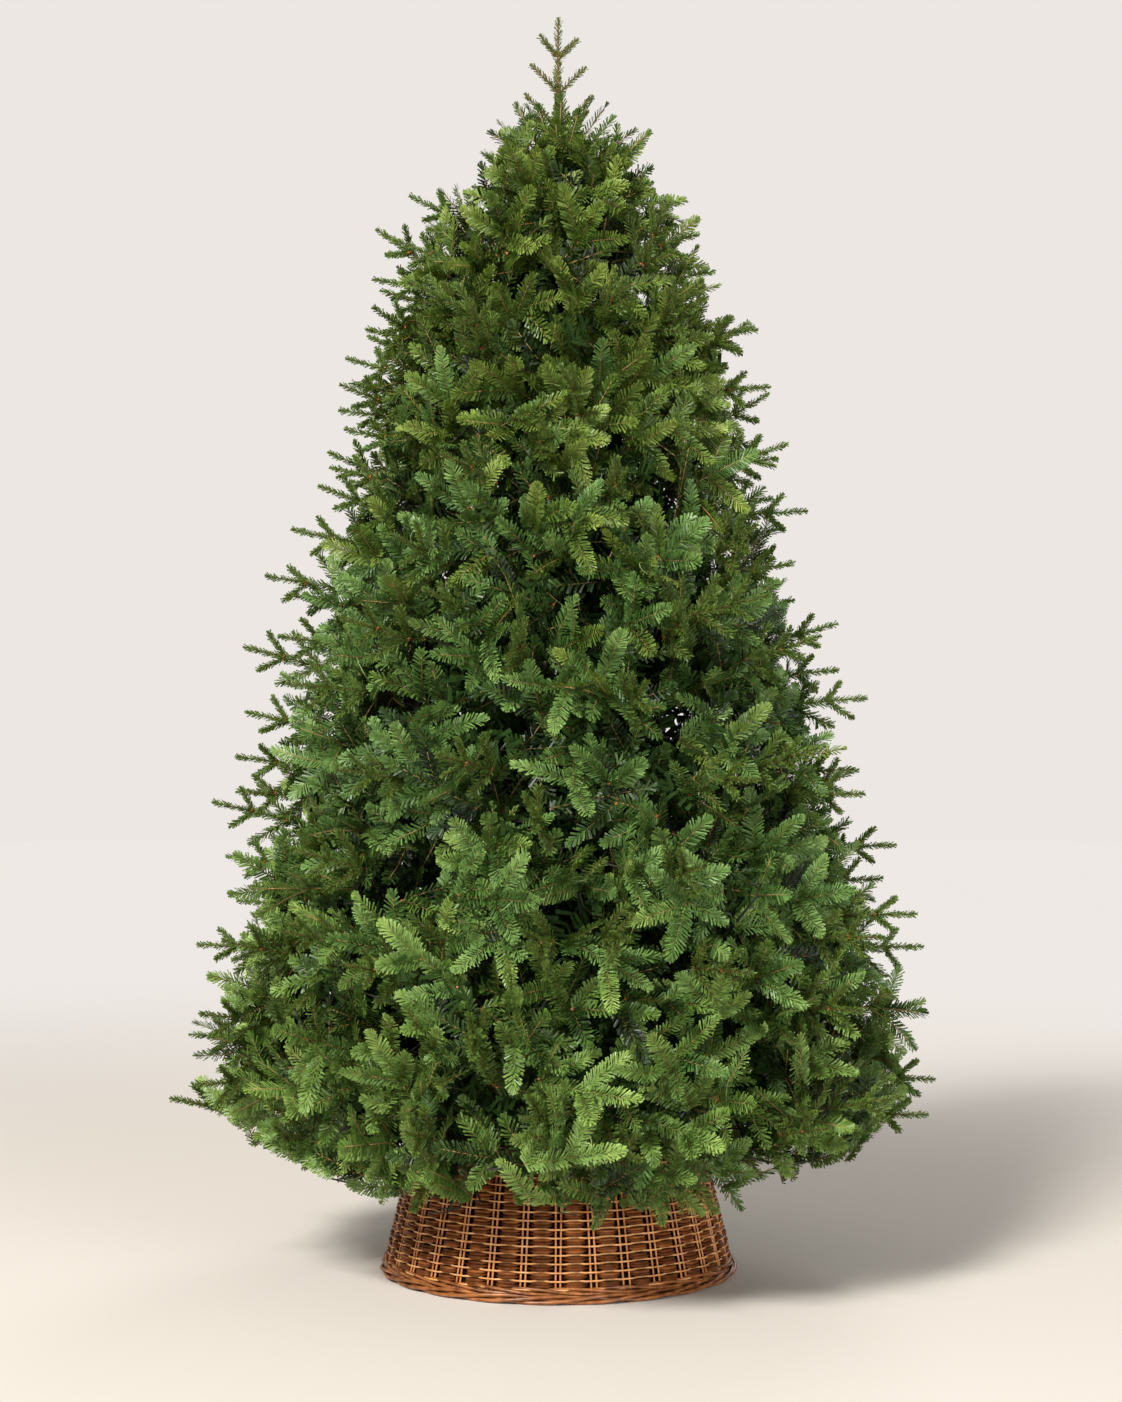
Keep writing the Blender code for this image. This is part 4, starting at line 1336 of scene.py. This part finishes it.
ropes = {   # middle height, half rise, rod thickness, rods, turns round each other, how far they stand out
    "collar_foot": ((0.0086, 0.0052, 0.0066, 3, 7, 0.0030), (0.0215, 0.0044, 0.0054, 3, -8, 0.0015)),
    "collar_rim": ((collar["height"] - 0.010, 0.0058, 0.0070, 4, 14, 0.0),),
}


def collarRadius(height):
    # the outside narrows evenly upwards
    return collar["footRadius"] - collar["narrowing"] * height


def makeCollar():
    dice = np.random.default_rng(5)
    low = collar["footBraid"] - collar["weaveTuck"]
    high = collar["height"] - collar["rimBraid"] + collar["weaveTuck"]
    makeStakes(low - collar["stakeTuck"], high + collar["stakeTuck"], dice)
    makeWeave(low, high, dice)
    makePaintedShadeLining(low, high)
    makeBraids()


def makeStakes(low, high, dice):
    # upright stakes in pairs, each a little off its place and leaning a little to one side
    pairs = collar["pairs"]
    apart = np.repeat((-1, 1), pairs) * collar["pairGap"] / 2 / collar["pairRadius"]
    turn = np.tile(evenTurns(pairs), 2) + apart
    turn = turn + dice.normal(size=2 * pairs) * collar["stakeWander"]
    z = np.linspace(low, high, 9)
    lean = dice.normal(size=(2 * pairs, 1)) * collar["stakeLean"]
    angle = turn[:, None] + lean * np.linspace(-1, 1, 9)
    paths = roundPole(collarRadius(z)[None] - collar["wall"] / 2, angle, z)
    stakes = tubes(paths, np.full(angle.shape, collar["stake"] / 2), 6)
    willow = wickerMaterial("wicker_stakes", *collar["stakeColours"])
    putWicker("collar_stakes", stakes, willow)


def makeWeave(low, high, dice):
    # rows of rods whose radius and thickness change smoothly between the stakes and the gaps
    pairs = collar["pairs"]
    rows = int((high - low) / collar["rowRise"])
    around = evenTurns(pairs * 10)
    row = np.arange(rows)[:, None]
    height = low + collar["rowRise"] * (row + 0.5) + collar["rowWave"] * np.sin(around * 5 + row * 2.1)
    near = np.cos(pairs * around)[None] * np.ones((rows, 1))     # one at the stakes, minus one between them
    front = row % 3 == 0        # one strand in three runs in front of the stakes, the others behind them
    share = np.where(front, np.clip((near + 1.0) / 1.3, 0, 1), np.clip((near + 0.55) / 1.2, 0, 1))
    share = share * share * (3 - 2 * share)
    kinds = np.array([collar["betweenStakes"], collar["overStakes"]])[front[:, 0].astype(int)]
    atStakes, between, outAtStakes, outBetween = kinds.T[:, :, None]
    thickness = blend(between, atStakes, share) * (1 + collar["rowSpread"] * dice.normal(size=(rows, 1)))
    radius = collarRadius(height) - collar["wall"] / 2 + outBetween + (outAtStakes - outBetween) * share
    radius = radius + collar["rowWander"] * dice.normal(size=(rows, 1))
    # rows in front take the pale colours, painted light, and rows behind take the warm or dark ones, painted
    # shade, dealt at random between those two
    grades = np.where(front[:, 0], 0, 1 + (dice.uniform(size=rows) < 0.5))
    for grade, (name, *finish) in enumerate(collar["weavers"]):
        rowsOf = grades == grade
        rods = rings(radius[rowsOf], height[rowsOf], thickness[rowsOf], 6)
        willow = wickerMaterial(f"wicker_{name}", *finish)
        piece = putWicker(f"collar_weavers_{name}", rods, willow)
        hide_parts("collar_weave")


def makePaintedShadeLining(low, high):
    # a thin near-black sheet just inside the weave: painted shade in the gaps between the rods
    outer = np.array([collarRadius(low), collarRadius(high)]) - collar["wall"] - collar["shadeGap"]
    inner = outer - collar["shadeWall"]
    profile = np.array([(outer[0], low), (outer[1], high), (inner[1], high), (inner[0], low)])
    putWicker("collar_painted_shade", lathe(profile, 96), plainMaterial("wicker_painted_shade"), False)


def makeBraids():
    # rods that wind round each other on their way round the collar
    for name, parts in ropes.items():
        meshes = []
        for middle, rise, thickness, rods, twists, proud in parts:
            phase = twists * evenTurns(288)[None] + evenTurns(rods)[:, None]
            height = middle + rise * np.sin(phase)
            radius = collarRadius(height) - collar["wall"] / 2 + proud + rise * 0.9 * np.cos(phase)
            meshes.append(rings(radius, height, thickness, 8))
        braid = wickerMaterial(name + "_wicker", *collar["braidColours"])
        piece = putWicker(name, joinMeshes(*meshes), braid)
        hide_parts(name + "_braid")


# Stage, light and camera

studio = {
    "cameraPlace": (0.005, -5.1, 1.024),
    "focalLength": 72.5,
    "background": srgb(236, 231, 226),
    "floor": srgb(216, 209, 200),
    "floorZ": -0.0005,
    "floorFade": (1.2, 5.5),
    "ambient": 0.30,
    "backdropRadius": 16.0,
    "backdropFoot": -0.01,
    "lights": (     # name, place, height that it points at, size, power and colour
        ("key", (-5.4, -9.4, 8.7), 0.9, 3.0, 2750, (1.0, 0.98, 0.95)),
        ("fill", (7.0, -12.0, 3.6), 1.3, 5.5, 900, (0.99, 0.99, 1.0)),
        ("rim", (2.2, 6.2, 4.4), 1.0, 3.0, 150, (1.0, 1.0, 1.0)),
    ),
}


def areaLight(name, place, targetZ, size, power, colour):
    # a square light turned towards a height on the tree's own axis
    data = bpy.data.lights.new(name, "AREA")
    data.shape = "SQUARE"
    data.size = size
    data.energy = power
    data.color = colour
    lamp = bpy.data.objects.new(name, data)
    lamp.location = place
    bpy.context.scene.collection.objects.link(lamp)
    aim = targetZ * up - np.array(place)
    flat = math.hypot(aim[0], aim[1])
    lamp.rotation_euler = (math.atan2(flat, -aim[2]), 0, math.atan2(-aim[0], aim[1]))


def stageMesh(name, points, faces, material):
    mesh = bpy.data.meshes.new(name)
    mesh.from_pydata(points.tolist(), [], faces)
    mesh.materials.append(material)
    piece = bpy.data.objects.new(name, mesh)
    bpy.context.scene.collection.objects.link(piece)
    return piece


def backdropMaterial():
    made, _, shader = newMaterial("pale_wall", 1.0)
    setSockets(shader, {"Base Color": (0, 0, 0, 1), "Specular IOR Level": 0})
    setSockets(shader, {"Emission Color": (*studio["background"], 1), "Emission Strength": 1.0})
    return made


def makeBackdrop():
    # a pale cylinder round everything, closed on top, which only the camera sees
    radius, turn = studio["backdropRadius"], evenTurns(96)
    points = np.concatenate([roundPole(radius, turn, height) for height in (studio["backdropFoot"], radius)])
    corner = np.arange(96)
    following = np.roll(corner, -1)
    faces = np.stack([following, corner, corner + 96, following + 96], -1)
    faces = [*faces.tolist(), list(range(96, 192))]
    backdrop = stageMesh("backdrop", points, faces, backdropMaterial())
    for kind in ("diffuse", "glossy", "transmission", "volume_scatter", "shadow"):
        setattr(backdrop, "visible_" + kind, False)


def floorMaterial():
    # the floor takes light near the tree and runs out into the backdrop's own brightness
    made, tree, shader = newMaterial("pale_floor", 0.8)
    kinds = ("ShaderNodeTexCoord", "ShaderNodeVectorMath", "ShaderNodeMapRange", "ShaderNodeValToRGB")
    place, distance, fade, colours = (tree.nodes.new(kind) for kind in kinds)
    distance.operation = "LENGTH"
    fade.interpolation_type = "SMOOTHSTEP"
    setSockets(fade, dict(zip(("From Min", "From Max"), studio["floorFade"])))
    for stop, colour in zip(colours.color_ramp.elements, (studio["floor"], (0, 0, 0))):
        stop.color = (*colour, 1)
    joinNodes(
        tree,
        (place, "Object", distance, 0),
        (distance, "Value", fade, "Value"),
        (fade, "Result", colours, "Fac"),
        (colours, "Color", shader, "Base Color"),
        (fade, "Result", shader, "Emission Strength"),
    )
    setSockets(shader, {"Emission Color": (*studio["background"], 1), "Specular IOR Level": 0.1})
    return made


def makeStage():
    scene = bpy.context.scene
    scene.view_settings.view_transform = "Standard"
    world = bpy.data.worlds.new("studio")
    scene.world = world
    world.use_nodes = True
    sky = world.node_tree.nodes["Background"]
    setSockets(sky, {"Color": (*studio["background"], 1), "Strength": studio["ambient"]})
    outline = roundPole(studio["backdropRadius"], evenTurns(96), studio["floorZ"])
    floor = stageMesh("floor", outline, [list(range(96))], floorMaterial())
    makeBackdrop()
    for light in studio["lights"]:
        areaLight(*light)
    data = bpy.data.cameras.new("camera")
    data.lens = studio["focalLength"]
    camera = bpy.data.objects.new("camera", data)
    camera.location = studio["cameraPlace"]
    camera.rotation_euler = (math.pi / 2, 0, 0)
    scene.collection.objects.link(camera)
    scene.camera = camera


makeStage()
print("stage, light and camera are set")
makeFoliage()
print("foliage is grown")
makeLeader()
print("leader is made")
makePole()
makeBoughs()
print("pole and boughs are made")
makeCollar()
print("collar is woven")
for name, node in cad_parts.items():
    if name.startswith("stand_"):
        node.data.materials.clear()
        node.data.materials.append(plainMaterial("green_powder_coat"))
print("stand is coated")
